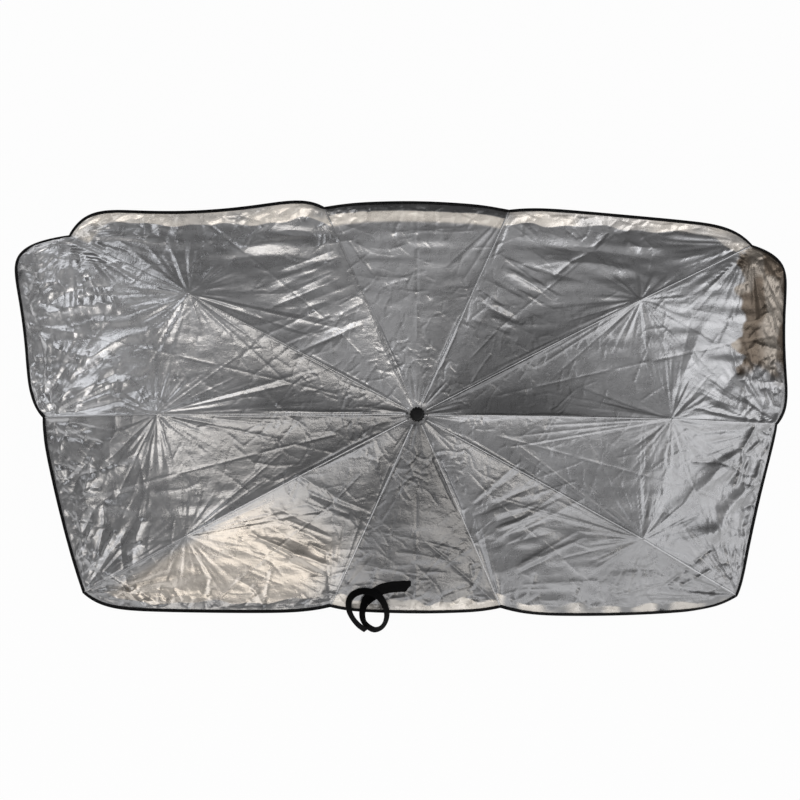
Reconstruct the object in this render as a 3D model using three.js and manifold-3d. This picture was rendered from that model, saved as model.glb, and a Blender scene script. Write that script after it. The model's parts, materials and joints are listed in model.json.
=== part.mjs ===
// Umbrella-type windscreen sunshade: a wide ten-rib canopy of silver cloth on a folding frame.
// Each arm is a top rib, a middle rib and, on the six long arms, an outer rib. Stretchers run from
// the top ribs to a runner on a telescoping shaft. Millimetres. The frame is built about the shaft,
// with the crown's pivot plane at z = 0, and then laid down as it rests: on the rim of its handle
// and the two lower corners of its hem.

import * as THREE from 'three';
import { mergeVertices } from 'three/addons/utils/BufferGeometryUtils.js';
import Module from 'manifold-3d';

const wasm = await Module();
wasm.setup();

// Arms: azimuths of the ten ribs from +X, and the lengths of their sections
const CORNER_AZIMUTH = 28;
const SHORT_AZIMUTH = 66;
const TOP_LENGTH = 232;
const LONG_MIDDLE = 231;
const UPPER_SHORT_MIDDLE = 168;
const LOWER_SHORT_MIDDLE = 126;
const UPPER_OUTER = 265;
const SIDE_OUTER = 215;
const LOWER_OUTER = 216;

// Droop of each section below the plane of the crown, in degrees, with the shade open
const TOP_DROOP = 2;
const MIDDLE_DROOP = 6;
const OUTER_DROOP = 20;

// Ribs of folded steel channel, open underneath
const RIB_WIDTH = 3.6;
const RIB_HEIGHT = 3.2;
const RIB_WALL = 0.6;
const ROD_RADIUS = 1.3;
const FERRULE_RADIUS = 2;
const FERRULE_LENGTH = 12;
const TIP_RADIUS = 1.6;

// Hinge joints of the frame: flat lugs between ears, on rivets
const LUG_THICKNESS = 1.6;
const LUG_RADIUS = 2;
const EAR_RADIUS = 2.2;
const PIN_RADIUS = 0.6;
const PIN_CLEARANCE = 0.35;
const KNEE_RISE = 3;
const KNEE_GAP = 4.5;
const LUG_REACH = 12;
const EAR_REACH = 10;
const PIN_SIDES = 6;

// Crown, its wire ring and its cap
const PIVOT_RADIUS = 11;
const CROWN_RADIUS = 13.5;
const CROWN_HEIGHT = 9;
const SLOT_WIDTH = 2.4;
const SLOT_FLOOR = 8.8;
const RING_WIRE = 0.6;
const NECK_RADIUS = 6.8;
const NECK_END = -72;
const CAP_RADIUS = 13.5;
const CAP_TEETH = 14;
const TOOTH_DEPTH = 1.9;
const CAP_HEIGHT = 6.5;
const CAP_RIM = 0.6;
const CAP_DOME = 3;
const CAP_STEM_RADIUS = 3.9;
// One tooth of the cap, as shares of its pitch and of the depth: its crest's two ends and its root
const TOOTH_PROFILE = [[-0.22, 0], [0.22, 0], [0.5, 1]];

// Stretchers and runner
const STRETCHER_PIN_X = 105;
const STRETCHER_PIN_DROP = 4.25;
const STRETCHER_SIZE = 3;
const STRETCHER_BLADE = 27;
const STRETCHER_EAR_WIDTH = 3.6;
const STRETCHER_EAR_SLOPE = 3.2;
const STRETCHER_EAR_BACK = 0.8;
const RUNNER_DROP = 58;
const RUNNER_HEIGHT = 8;
const RUNNER_SLEEVE = 24;
const SLEEVE_RADIUS = 9.5;
const GRIP_RING = 1.3;
const GRIP_RINGS = 2;
const BUTTON_WIDTH = 4.2;
const BUTTON_HEIGHT = 7.4;
const BUTTON_DEPTH = 2.3;
const BUTTON_PROUD = 1.7;
const BUTTON_CORNER = 1.2;
const WINDOW_FLOOR = 1.5;

// Telescoping shaft and handle
const TUBE_WALL = 0.6;
const UPPER_TUBE_RADIUS = 4.2;
const MIDDLE_TUBE_RADIUS = 5.4;
const LOWER_TUBE_RADIUS = 6.6;
const UPPER_TUBE_END = -235;
const MIDDLE_TUBE_TOP = -103;
const MIDDLE_TUBE_END = -245;
const LOWER_TUBE_TOP = -106;
const HANDLE_TOP = -250;
const HANDLE_LENGTH = 50;
const HANDLE_CAP = 5;
const HANDLE_RADIUS = 14;
const SOCKET_DEPTH = 35;
const GROOVES = 3;
const GROOVE_DEPTH = 1;
const GROOVE_START = 5;
const GROOVED_SHARE = 0.7;
const HANDLE_SHOULDER = 5;
const HANDLE_CHAMFER = 1;

// Canopy cloth, hem and fastening strap
const CLOTH = 1.5;
const CLOTH_HOLE = 6;
const CLOTH_LIFT = 1;
const SEAM_GAP = 0.5;
const HEM_REACH = 12;
const CORNER_DIP = 4.5;
const CLOTH_SAG = 9;
const SAG_START = 0.06;
const FLAT_BEYOND_CROWN = 2;
const BULGE_START = 0.55;
const BULGE_SHARE = 0.35;
const SHORT_ARM_ROWS = [0.3, 0.55, 0.8];
const BINDING_DEPTH = 3.5;
const BINDING_EDGE = 1.8;
const BINDING_WALL = 0.8;
const BINDING_CLEARANCE = 0.5;
const STRAP_WIDTH = 20;
const STRAP_THICKNESS = 1.4;
const STRAP_X = -90;
const STRAP_CUT = 9;

// Gap left between neighbouring pieces
const GAP = 0.3;

// Hem of each gore beyond the straight line between its rib tips: outward near its first rib,
// halfway and near its second rib, and how far the middle hangs down
const HEMS = [
  { out: [32, 24, 15], hang: 8 },
  { out: [12, 17, 12], hang: 5 },
  { out: [22, 21, 44], hang: 8 },
  { out: [106, 66, 40], hang: 26 },
  { out: [9, 10, 6], hang: 6 },
  { out: [29, 24, 16], hang: 8 },
  { out: [9, 12, 9], hang: 5 },
  { out: [18, 25, 24], hang: 8 },
  { out: [5, 2, 3], hang: 6 },
  { out: [37, 46, 70], hang: 22 },
];

// Columns of points across a gore, from its first rib at 0 to its next rib at 1, closer at its edges
const COLUMNS = [0, 0.04, 0.12, 0.28, 0.5, 0.72, 0.88, 0.96, 1];
const MIDDLE_COLUMN = 4;

// Rows of points along a gore, from the hole at the crown to the hem
const ROWS = 9;

// The arms anticlockwise from the upper right corner; gore number n spans from arm n to the next
const ARMS = [
  { azimuth: CORNER_AZIMUTH, middle: LONG_MIDDLE, outer: UPPER_OUTER },
  { azimuth: SHORT_AZIMUTH, middle: UPPER_SHORT_MIDDLE, outer: 0 },
  { azimuth: 180 - SHORT_AZIMUTH, middle: UPPER_SHORT_MIDDLE, outer: 0 },
  { azimuth: 180 - CORNER_AZIMUTH, middle: LONG_MIDDLE, outer: UPPER_OUTER },
  { azimuth: 180, middle: LONG_MIDDLE, outer: SIDE_OUTER },
  { azimuth: 180 + CORNER_AZIMUTH, middle: LONG_MIDDLE, outer: LOWER_OUTER },
  { azimuth: 180 + SHORT_AZIMUTH, middle: LOWER_SHORT_MIDDLE, outer: 0 },
  { azimuth: 360 - SHORT_AZIMUTH, middle: LOWER_SHORT_MIDDLE, outer: 0 },
  { azimuth: 360 - CORNER_AZIMUTH, middle: LONG_MIDDLE, outer: LOWER_OUTER },
  { azimuth: 0, middle: LONG_MIDDLE, outer: SIDE_OUTER },
];
const LOWER_LEFT_ARM = 5;
const LOWER_MIDDLE_GORE = 6;

const radians = THREE.MathUtils.degToRad;
const HALF_RIB = RIB_HEIGHT / 2;

// A rivet's hole, out to its corners: its flats are the clearance away from the rivet
const HOLE_RADIUS = (PIN_RADIUS + PIN_CLEARANCE) / Math.cos(Math.PI / PIN_SIDES);
const EAR_GAP = RIB_WIDTH - 2 * RIB_WALL;
const CROWN_TOP = CROWN_HEIGHT / 2;
const HANDLE_END = HANDLE_TOP - HANDLE_LENGTH - GAP - HANDLE_CAP;

// How far a cutting solid runs on past what it cuts
const FAR = 40;
const PAST = 1;

const finishes = {
  silver: { color: 0xa4a7ab, roughness: 0.42, metalness: 0.8 },
  black_cloth: { color: 0x121214, roughness: 0.85, metalness: 0 },
  black_plastic: { color: 0x16161a, roughness: 0.5, metalness: 0 },
  steel: { color: 0x8e9094, roughness: 0.35, metalness: 1 },
  glass_fibre: { color: 0x1d1d20, roughness: 0.5, metalness: 0 },
};

// Solids: three.js geometry to and from closed solids that can be joined and cut
function toSolid(geometry) {
  const bare = geometry.clone();
  bare.deleteAttribute('normal');
  bare.deleteAttribute('uv');
  const merged = mergeVertices(bare, 1e-4);
  return new wasm.Manifold(new wasm.Mesh({
    numProp: 3,
    vertProperties: new Float32Array(merged.attributes.position.array),
    triVerts: new Uint32Array(merged.index.array),
  }));
}

function toGeometry(solid) {
  const mesh = solid.getMesh();
  const geometry = new THREE.BufferGeometry();
  geometry.setAttribute('position', new THREE.BufferAttribute(mesh.vertProperties, 3));
  geometry.setIndex(new THREE.BufferAttribute(mesh.triVerts, 1));
  return geometry;
}

function join(first, ...others) {
  return others.reduce((sum, geometry) => sum.add(toSolid(geometry)), first);
}

function cut(first, ...others) {
  return others.reduce((rest, geometry) => rest.subtract(toSolid(geometry)), first);
}

// A box between two corners
function box(low, high) {
  const size = high.map((value, axis) => value - low[axis]);
  const middle = high.map((value, axis) => (value + low[axis]) / 2);
  return new THREE.BoxGeometry(...size).translate(...middle);
}

// A plate in an arm's upright plane, from its outline as [x, z] points, centred on the plane
function plate(outline, thickness) {
  const shape = new THREE.Shape(outline.map(([x, z]) => new THREE.Vector2(x, z)));
  const geometry = new THREE.ExtrudeGeometry(shape, { depth: thickness, bevelEnabled: false });
  return geometry.translate(0, 0, -thickness / 2).rotateX(Math.PI / 2);
}

// A round pin, eye or hole across an arm's plane
function across(x, z, radius, length, sides = 8) {
  return new THREE.CylinderGeometry(radius, radius, length, sides).translate(x, 0, z);
}

// A turned piece, from its closed outline as [radius, z] points
function turned(outline, sides) {
  const points = outline.map(([r, z]) => new THREE.Vector2(r, z));
  const onAxis = outline[0][0] === 0;
  if (!onAxis) points.push(points[0].clone());
  return new THREE.LatheGeometry(points, sides).rotateX(Math.PI / 2);
}

// A closed skin over rings of points. Faces in flipped() take the other diagonal, so that the two
// sides of a thin sheet bend along the same lines.
function loft(rings, closed, flipped) {
  const count = rings[0].length;
  const index = [];
  const spans = closed ? rings.length : rings.length - 1;
  for (let r = 0; r < spans; r++) {
    const a = r * count;
    const b = ((r + 1) % rings.length) * count;
    for (let i = 0; i < count; i++) {
      const j = (i + 1) % count;
      if (flipped(i)) index.push(a + i, a + j, b + i, a + j, b + j, b + i);
      else index.push(a + i, a + j, b + j, a + i, b + j, b + i);
    }
  }
  const last = (rings.length - 1) * count;
  for (let i = 0; !closed && i < count / 2 - 1; i++) {
    const j = count - 1 - i;
    index.push(i, j, j - 1, i, j - 1, i + 1);
    index.push(last + i, last + i + 1, last + j - 1, last + i, last + j - 1, last + j);
  }
  const geometry = new THREE.BufferGeometry();
  const positions = rings.flat().flatMap((point) => point.toArray());
  geometry.setAttribute('position', new THREE.Float32BufferAttribute(positions, 3));
  geometry.setIndex(index);
  return geometry;
}

// Ears around a pin, as the outline of a plate that runs from the bar's end round the pin; side is 1
// where the pin lies above the bar and -1 where it lies below
function earOutline(pinX, pinZ, barZ, side) {
  const round = (turn) => {
    const angle = radians(turn);
    return [pinX + EAR_RADIUS * Math.cos(angle), pinZ + side * EAR_RADIUS * Math.sin(angle)];
  };
  return [
    [pinX - EAR_REACH, barZ - side * HALF_RIB],
    [pinX - EAR_RADIUS, barZ - side * HALF_RIB],
    round(-27),
    round(45),
    round(112),
    [pinX - LUG_REACH / 2, barZ + side * HALF_RIB],
    [pinX - EAR_REACH, barZ + side * HALF_RIB],
  ];
}

// A lug from its eye at the origin to a bar whose centre line lies at height z
function lugOutline(z) {
  const side = Math.sign(z) || 1;
  return [
    [0, side * LUG_RADIUS],
    [KNEE_GAP, z + side * HALF_RIB],
    [LUG_REACH, z + side * HALF_RIB],
    [LUG_REACH, z - side * HALF_RIB],
    [KNEE_GAP + PAST, z - side * HALF_RIB],
    [0, -side * LUG_RADIUS],
  ];
}

function topRib() {
  const end = TOP_LENGTH - KNEE_GAP;
  const halfWidth = RIB_WIDTH / 2;
  const bar = box([LUG_REACH, -halfWidth, -HALF_RIB], [end, halfWidth, HALF_RIB]);
  const ears = plate(earOutline(TOP_LENGTH, KNEE_RISE, 0, 1), RIB_WIDTH);
  const eye = across(TOP_LENGTH, KNEE_RISE, EAR_RADIUS, RIB_WIDTH);
  const earEnd = -STRETCHER_PIN_DROP - PIN_RADIUS;
  const halfEar = STRETCHER_EAR_WIDTH / 2;
  const stretcherEars = plate([
    [STRETCHER_PIN_X - halfEar - STRETCHER_EAR_SLOPE, 0],
    [STRETCHER_PIN_X - halfEar, earEnd],
    [STRETCHER_PIN_X + halfEar, earEnd],
    [STRETCHER_PIN_X + halfEar + STRETCHER_EAR_BACK, 0],
  ], RIB_WIDTH);
  const stretcherEye = across(STRETCHER_PIN_X, -STRETCHER_PIN_DROP, LUG_RADIUS, RIB_WIDTH);
  const outside = join(toSolid(bar), ears, eye, stretcherEars, stretcherEye);
  const halfGap = EAR_GAP / 2;
  const web = HALF_RIB - RIB_WALL;
  const inside = box([LUG_REACH - PAST, -halfGap, -FAR], [TOP_LENGTH + FAR, halfGap, web]);
  const knee = box([end, -halfGap, -FAR], [TOP_LENGTH + FAR, halfGap, FAR]);
  const channel = cut(outside, inside, knee);
  const bladeEnd = 1.5 * LUG_REACH;
  const blade = box([0, -LUG_THICKNESS / 2, -HALF_RIB], [bladeEnd, LUG_THICKNESS / 2, HALF_RIB]);
  const whole = join(
    channel,
    blade,
    across(0, 0, LUG_RADIUS, LUG_THICKNESS),
    across(TOP_LENGTH, KNEE_RISE, PIN_RADIUS, RIB_WIDTH, PIN_SIDES),
    across(STRETCHER_PIN_X, -STRETCHER_PIN_DROP, PIN_RADIUS, RIB_WIDTH, PIN_SIDES),
  );
  return toGeometry(cut(whole, across(0, 0, HOLE_RADIUS, FAR, PIN_SIDES)));
}

function middleRib(length, carriesOuter) {
  const centre = -KNEE_RISE;
  const halfWidth = RIB_WIDTH / 2;
  const end = carriesOuter ? length - KNEE_GAP : length - TIP_RADIUS;
  const bar = box([KNEE_GAP, -halfWidth, centre - HALF_RIB], [end, halfWidth, centre + HALF_RIB]);
  const halfGap = EAR_GAP / 2;
  const web = centre + HALF_RIB - RIB_WALL;
  let whole = toSolid(bar);
  if (carriesOuter) {
    const ears = plate(earOutline(length, centre - KNEE_RISE, centre, -1), RIB_WIDTH);
    whole = join(whole, ears, across(length, centre - KNEE_RISE, EAR_RADIUS, RIB_WIDTH));
    whole = cut(whole, box([end, -halfGap, -FAR], [length + FAR, halfGap, FAR]));
  }
  whole = cut(whole, box([KNEE_GAP - PAST, -halfGap, -FAR], [length + FAR, halfGap, web]));
  const pin = across(length, centre - KNEE_RISE, PIN_RADIUS, RIB_WIDTH, PIN_SIDES);
  const tip = across(length - TIP_RADIUS, centre, TIP_RADIUS, RIB_WIDTH);
  whole = join(whole, carriesOuter ? pin : tip);
  const lug = plate(lugOutline(centre), LUG_THICKNESS);
  whole = join(whole, lug, across(0, 0, LUG_RADIUS, LUG_THICKNESS));
  return toGeometry(cut(whole, across(0, 0, HOLE_RADIUS, FAR, PIN_SIDES)));
}

function outerRib(length) {
  const rodStart = KNEE_GAP + PAST;
  const rodLength = length - TIP_RADIUS - rodStart;
  const rod = new THREE.CylinderGeometry(ROD_RADIUS, ROD_RADIUS, rodLength, 8);
  rod.rotateZ(-Math.PI / 2).translate(rodStart + rodLength / 2, 0, KNEE_RISE);
  const ferrule = new THREE.CylinderGeometry(FERRULE_RADIUS, FERRULE_RADIUS, FERRULE_LENGTH, 8);
  ferrule.rotateZ(-Math.PI / 2).translate(EAR_REACH + FERRULE_LENGTH / 2, 0, KNEE_RISE);
  const tip = new THREE.SphereGeometry(TIP_RADIUS, 8, 5);
  tip.rotateZ(-Math.PI / 2).translate(length - TIP_RADIUS, 0, KNEE_RISE);
  const lug = plate(lugOutline(KNEE_RISE), LUG_THICKNESS);
  const whole = join(toSolid(rod), ferrule, tip, lug, across(0, 0, LUG_RADIUS, LUG_THICKNESS));
  return toGeometry(cut(whole, across(0, 0, HOLE_RADIUS, FAR, PIN_SIDES)));
}

function stretcher(length) {
  const half = STRETCHER_SIZE / 2;
  const blade = LUG_THICKNESS / 2;
  const barEnd = length - STRETCHER_BLADE;
  const bar = box([KNEE_GAP, -half, -half], [barEnd, half, half]);
  const gutterLow = [KNEE_GAP - PAST, -half + RIB_WALL, RIB_WALL - half];
  const gutter = box(gutterLow, [barEnd + PAST, half - RIB_WALL, FAR]);
  const whole = join(
    cut(toSolid(bar), gutter),
    box([0, -blade, -half], [LUG_REACH, blade, half]),
    across(0, 0, LUG_RADIUS, LUG_THICKNESS),
    box([barEnd - KNEE_GAP, -blade, -half], [length, blade, half]),
    across(length, 0, half, LUG_THICKNESS),
  );
  return toGeometry(cut(whole, across(0, 0, HOLE_RADIUS, FAR, PIN_SIDES)));
}

// Ten radial slots, one in the plane of each arm, between two heights
function armSlots(low, high) {
  const half = SLOT_WIDTH / 2;
  return ARMS.map(({ azimuth }) => {
    const slot = box([SLOT_FLOOR, -half, low], [CROWN_RADIUS + FAR, half, high]);
    return slot.rotateZ(radians(azimuth));
  });
}

function crown() {
  const bore = UPPER_TUBE_RADIUS + GAP;
  const body = turned([
    [bore, CROWN_TOP],
    [CROWN_RADIUS, CROWN_TOP],
    [CROWN_RADIUS, -CROWN_TOP],
    [NECK_RADIUS, -CROWN_TOP],
    [NECK_RADIUS, NECK_END],
    [bore, NECK_END],
  ].reverse(), 24);
  const notched = cut(toSolid(body), ...armSlots(-CROWN_TOP - PAST, CROWN_TOP + PAST));
  const ring = new THREE.TorusGeometry(PIVOT_RADIUS, RING_WIRE, 5, 20);
  return toGeometry(join(notched, ring));
}

const CAP_UNDER = CROWN_TOP + GAP + CLOTH + GAP;

function crownCap() {
  const outline = new THREE.Shape();
  for (let tooth = 0; tooth < CAP_TEETH; tooth++) {
    const step = (2 * Math.PI) / CAP_TEETH;
    TOOTH_PROFILE.forEach(([turn, depth]) => {
      const angle = (tooth + turn) * step;
      const r = CAP_RADIUS - depth * TOOTH_DEPTH;
      const corner = [r * Math.cos(angle), r * Math.sin(angle)];
      if (tooth === 0 && turn < 0) outline.moveTo(...corner);
      else outline.lineTo(...corner);
    });
  }
  const skirt = new THREE.ExtrudeGeometry(outline, { depth: CAP_HEIGHT, bevelEnabled: false });
  skirt.translate(0, 0, CAP_UNDER);
  const rim = CAP_RADIUS - TOOTH_DEPTH - CAP_RIM;
  const skirtTop = CAP_UNDER + CAP_HEIGHT;
  const dome = turned([
    [0, skirtTop - PAST],
    [rim, skirtTop - PAST],
    [rim, skirtTop + CAP_DOME * 0.25],
    [rim * 0.75, skirtTop + CAP_DOME * 0.8],
    [0, skirtTop + CAP_DOME],
  ], 16);
  const stem = turned([
    [0, CROWN_TOP + GAP],
    [CAP_STEM_RADIUS, CROWN_TOP + GAP],
    [CAP_STEM_RADIUS, CAP_UNDER + PAST],
    [0, CAP_UNDER + PAST],
  ], 12);
  return toGeometry(join(toSolid(skirt), dome, stem));
}

const RUNNER_BORE = NECK_RADIUS + GAP;
const RUNNER_LOW = -RUNNER_DROP - RUNNER_HEIGHT / 2 - RUNNER_SLEEVE;
const BUTTON_Z = -RUNNER_DROP - RUNNER_HEIGHT / 2 - RUNNER_SLEEVE / 2;

function runner() {
  const flangeTop = -RUNNER_DROP + RUNNER_HEIGHT / 2;
  const flangeLow = -RUNNER_DROP - RUNNER_HEIGHT / 2;
  const outline = [
    [RUNNER_BORE, flangeTop],
    [CROWN_RADIUS, flangeTop],
    [CROWN_RADIUS, flangeLow],
    [SLEEVE_RADIUS, flangeLow],
  ];
  const pitch = RUNNER_SLEEVE / (GRIP_RINGS * 2 + 1);
  for (let ring = 0; ring < GRIP_RINGS; ring++) {
    const top = flangeLow - pitch * (2 * ring + 1);
    outline.push([SLEEVE_RADIUS, top]);
    outline.push([SLEEVE_RADIUS + GRIP_RING, top - pitch / 3]);
    outline.push([SLEEVE_RADIUS + GRIP_RING, top - (2 * pitch) / 3]);
    outline.push([SLEEVE_RADIUS, top - pitch]);
  }
  outline.push([SLEEVE_RADIUS, RUNNER_LOW], [RUNNER_BORE, RUNNER_LOW]);
  const body = toSolid(turned(outline.reverse(), 16));
  const halfWidth = BUTTON_WIDTH / 2 + GAP;
  const halfHeight = BUTTON_HEIGHT / 2 + GAP;
  const window = box(
    [-halfWidth, -SLEEVE_RADIUS - FAR, BUTTON_Z - halfHeight],
    [halfWidth, -RUNNER_BORE + WINDOW_FLOOR, BUTTON_Z + halfHeight],
  );
  return toGeometry(cut(body, ...armSlots(flangeLow - PAST, flangeTop + PAST), window));
}

function releaseButton() {
  const w = BUTTON_WIDTH / 2;
  const h = BUTTON_HEIGHT / 2;
  const r = BUTTON_CORNER;
  const outline = new THREE.Shape();
  outline.moveTo(-w + r, -h);
  outline.lineTo(w - r, -h);
  outline.quadraticCurveTo(w, -h, w, -h + r);
  outline.lineTo(w, h - r);
  outline.quadraticCurveTo(w, h, w - r, h);
  outline.lineTo(-w + r, h);
  outline.quadraticCurveTo(-w, h, -w, h - r);
  outline.lineTo(-w, -h + r);
  outline.quadraticCurveTo(-w, -h, -w + r, -h);
  const options = { depth: BUTTON_DEPTH, bevelEnabled: false, curveSegments: 3 };
  const button = new THREE.ExtrudeGeometry(outline, options).rotateX(Math.PI / 2);
  return button.translate(0, -SLEEVE_RADIUS - BUTTON_PROUD + BUTTON_DEPTH, BUTTON_Z);
}

function tube(radius, top, end) {
  return turned([
    [radius - TUBE_WALL, end],
    [radius, end],
    [radius, top],
    [radius - TUBE_WALL, top],
  ], 16);
}

function handle() {
  const end = HANDLE_TOP - HANDLE_LENGTH;
  const socket = LOWER_TUBE_RADIUS + GAP;
  const outline = [
    [0, end],
    [HANDLE_RADIUS, end],
  ];
  const pitch = (HANDLE_LENGTH * GROOVED_SHARE) / GROOVES;
  for (let groove = 0; groove < GROOVES; groove++) {
    const z = end + GROOVE_START + groove * pitch;
    outline.push([HANDLE_RADIUS, z]);
    outline.push([HANDLE_RADIUS - GROOVE_DEPTH, z + pitch / 5]);
    outline.push([HANDLE_RADIUS, z + (2 * pitch) / 5]);
  }
  outline.push(
    [HANDLE_RADIUS - 1.5 * GROOVE_DEPTH, HANDLE_TOP - HANDLE_SHOULDER],
    [HANDLE_RADIUS - HANDLE_SHOULDER, HANDLE_TOP],
    [socket, HANDLE_TOP],
    [socket, HANDLE_TOP - SOCKET_DEPTH - GAP],
    [0, HANDLE_TOP - SOCKET_DEPTH - GAP],
  );
  return turned(outline, 16);
}

function handleCap() {
  return turned([
    [0, HANDLE_END],
    [HANDLE_RADIUS - HANDLE_CHAMFER, HANDLE_END],
    [HANDLE_RADIUS, HANDLE_END + HANDLE_CHAMFER],
    [HANDLE_RADIUS, HANDLE_END + HANDLE_CAP],
    [0, HANDLE_END + HANDLE_CAP],
  ], 16);
}

// Position of a point [x, z] of an arm's section after the section's droop
function swung([x, z], droop) {
  const angle = radians(droop);
  return [x * Math.cos(angle) + z * Math.sin(angle), z * Math.cos(angle) - x * Math.sin(angle)];
}

// The cloth's middle line over one arm, one point for each row, as its radius and its height
function clothLine({ middle, outer }) {
  const above = HALF_RIB + CLOTH_LIFT + CLOTH / 2;
  const from = (base, point, droop) => {
    const [x, z] = swung(point, droop);
    return new THREE.Vector2(base.x + x, base.y + z);
  };
  const pivot = new THREE.Vector2(PIVOT_RADIUS, 0);
  const flat = CROWN_TOP + GAP + CLOTH / 2;
  const overPin = KNEE_RISE + EAR_RADIUS + CLOTH_LIFT / 2 + CLOTH / 2;
  const knee = from(pivot, [TOP_LENGTH, KNEE_RISE], TOP_DROOP);
  const overKnee = from(pivot, [TOP_LENGTH, overPin], TOP_DROOP);
  const line = [
    new THREE.Vector2(CLOTH_HOLE, flat),
    new THREE.Vector2(CROWN_RADIUS + FLAT_BEYOND_CROWN, flat),
    new THREE.Vector2(CROWN_RADIUS + FLAT_BEYOND_CROWN, flat).lerp(overKnee, 0.5),
    overKnee,
  ];
  if (outer) {
    const overMiddle = from(knee, [middle, above - KNEE_RISE], MIDDLE_DROOP);
    const second = from(knee, [middle, -2 * KNEE_RISE], MIDDLE_DROOP);
    const rise = KNEE_RISE + ROD_RADIUS + CLOTH_LIFT + CLOTH / 2;
    const nearTip = from(second, [outer + GAP, rise], OUTER_DROOP);
    const hem = from(second, [outer + HEM_REACH, rise - CORNER_DIP], OUTER_DROOP);
    line.push(
      overKnee.clone().lerp(overMiddle, 0.5),
      overMiddle,
      overMiddle.clone().lerp(nearTip, 0.5),
      nearTip,
      hem,
    );
  } else {
    const nearTip = from(knee, [middle + GAP, above - KNEE_RISE], MIDDLE_DROOP);
    const hem = from(knee, [middle + HEM_REACH, above - KNEE_RISE - CORNER_DIP], MIDDLE_DROOP);
    SHORT_ARM_ROWS.forEach((share) => line.push(overKnee.clone().lerp(nearTip, share)));
    line.push(nearTip, hem);
  }
  return line;
}

// Each arm's cloth line with the share of its length at each row and its upward normals
const clothLines = ARMS.map((arm) => {
  const line = clothLine(arm);
  const lengths = [0];
  for (let row = 1; row < ROWS; row++) {
    lengths.push(lengths[row - 1] + line[row].distanceTo(line[row - 1]));
  }
  const angle = radians(arm.azimuth);
  const outward = new THREE.Vector3(Math.cos(angle), Math.sin(angle), 0);
  const sideways = new THREE.Vector3(-Math.sin(angle), Math.cos(angle), 0);
  const points = line.map(({ x, y }) => outward.clone().multiplyScalar(x).setZ(y));
  const normals = line.map((point, row) => {
    const before = line[Math.max(row - 1, 0)];
    const after = line[Math.min(row + 1, ROWS - 1)];
    const along = after.clone().sub(before).normalize();
    return outward.clone().multiplyScalar(-along.y).setZ(along.x);
  });
  return { points, normals, sideways, shares: lengths.map((length) => length / lengths[ROWS - 1]) };
});

// The middle surface of one gore: points[row][column]
function goreSurface(number) {
  const first = clothLines[number];
  const second = clothLines[(number + 1) % ARMS.length];
  const { out, hang } = HEMS[number];
  const tips = [first.points[ROWS - 1], second.points[ROWS - 1]];
  const chord = tips[1].clone().sub(tips[0]);
  const outward = new THREE.Vector3(chord.y, -chord.x, 0).normalize();
  const inset = SEAM_GAP / 2;
  const rows = [];
  for (let row = 0; row < ROWS; row++) {
    const start = first.points[row].clone().addScaledVector(first.sideways, inset);
    const end = second.points[row].clone().addScaledVector(second.sideways, -inset);
    rows.push(COLUMNS.map((u) => {
      const share = THREE.MathUtils.lerp(first.shares[row], second.shares[row], u);
      const reach = Math.max(0, (share - BULGE_START) / (1 - BULGE_START)) ** 1.5;
      const edge = 1 - Math.abs(2 * u - 1) ** 6;
      const v = (u - 0.5) / BULGE_SHARE;
      const bulge = out[1] + ((out[2] - out[0]) * v) / 2 + ((out[0] + out[2] - 2 * out[1]) * v * v) / 2;
      const slack = Math.max(0, share - SAG_START);
      const sag = CLOTH_SAG * 4 * u * (1 - u) * 4 * slack * (1 - share);
      const point = start.clone().lerp(end, u).addScaledVector(outward, bulge * edge * reach);
      point.z -= sag + hang * edge * reach * reach;
      return point;
    }));
  }
  return rows;
}

// Upward normals of a gore's surface; its edges take the normals of the arms that they lie on
function goreNormals(number, surface) {
  const last = COLUMNS.length - 1;
  return surface.map((points, row) => points.map((_, column) => {
    if (column === 0) return clothLines[number].normals[row];
    if (column === last) return clothLines[(number + 1) % ARMS.length].normals[row];
    const aside = surface[row][column + 1].clone().sub(surface[row][column - 1]);
    const before = surface[Math.max(row - 1, 0)][column];
    const after = surface[Math.min(row + 1, ROWS - 1)][column];
    return after.clone().sub(before).cross(aside).normalize();
  }));
}

const surfaces = ARMS.map((_, number) => goreSurface(number));
const normals = ARMS.map((_, number) => goreNormals(number, surfaces[number]));

function gore(number) {
  const rings = surfaces[number].map((points, row) => {
    const up = normals[number][row];
    const top = points.map((point, column) => point.clone().addScaledVector(up[column], CLOTH / 2));
    const under = points.map((point, column) => point.clone().addScaledVector(up[column], -CLOTH / 2));
    return [...under, ...top.reverse()];
  });
  return loft(rings, false, (i) => i >= COLUMNS.length && i < 2 * COLUMNS.length - 1);
}

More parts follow.
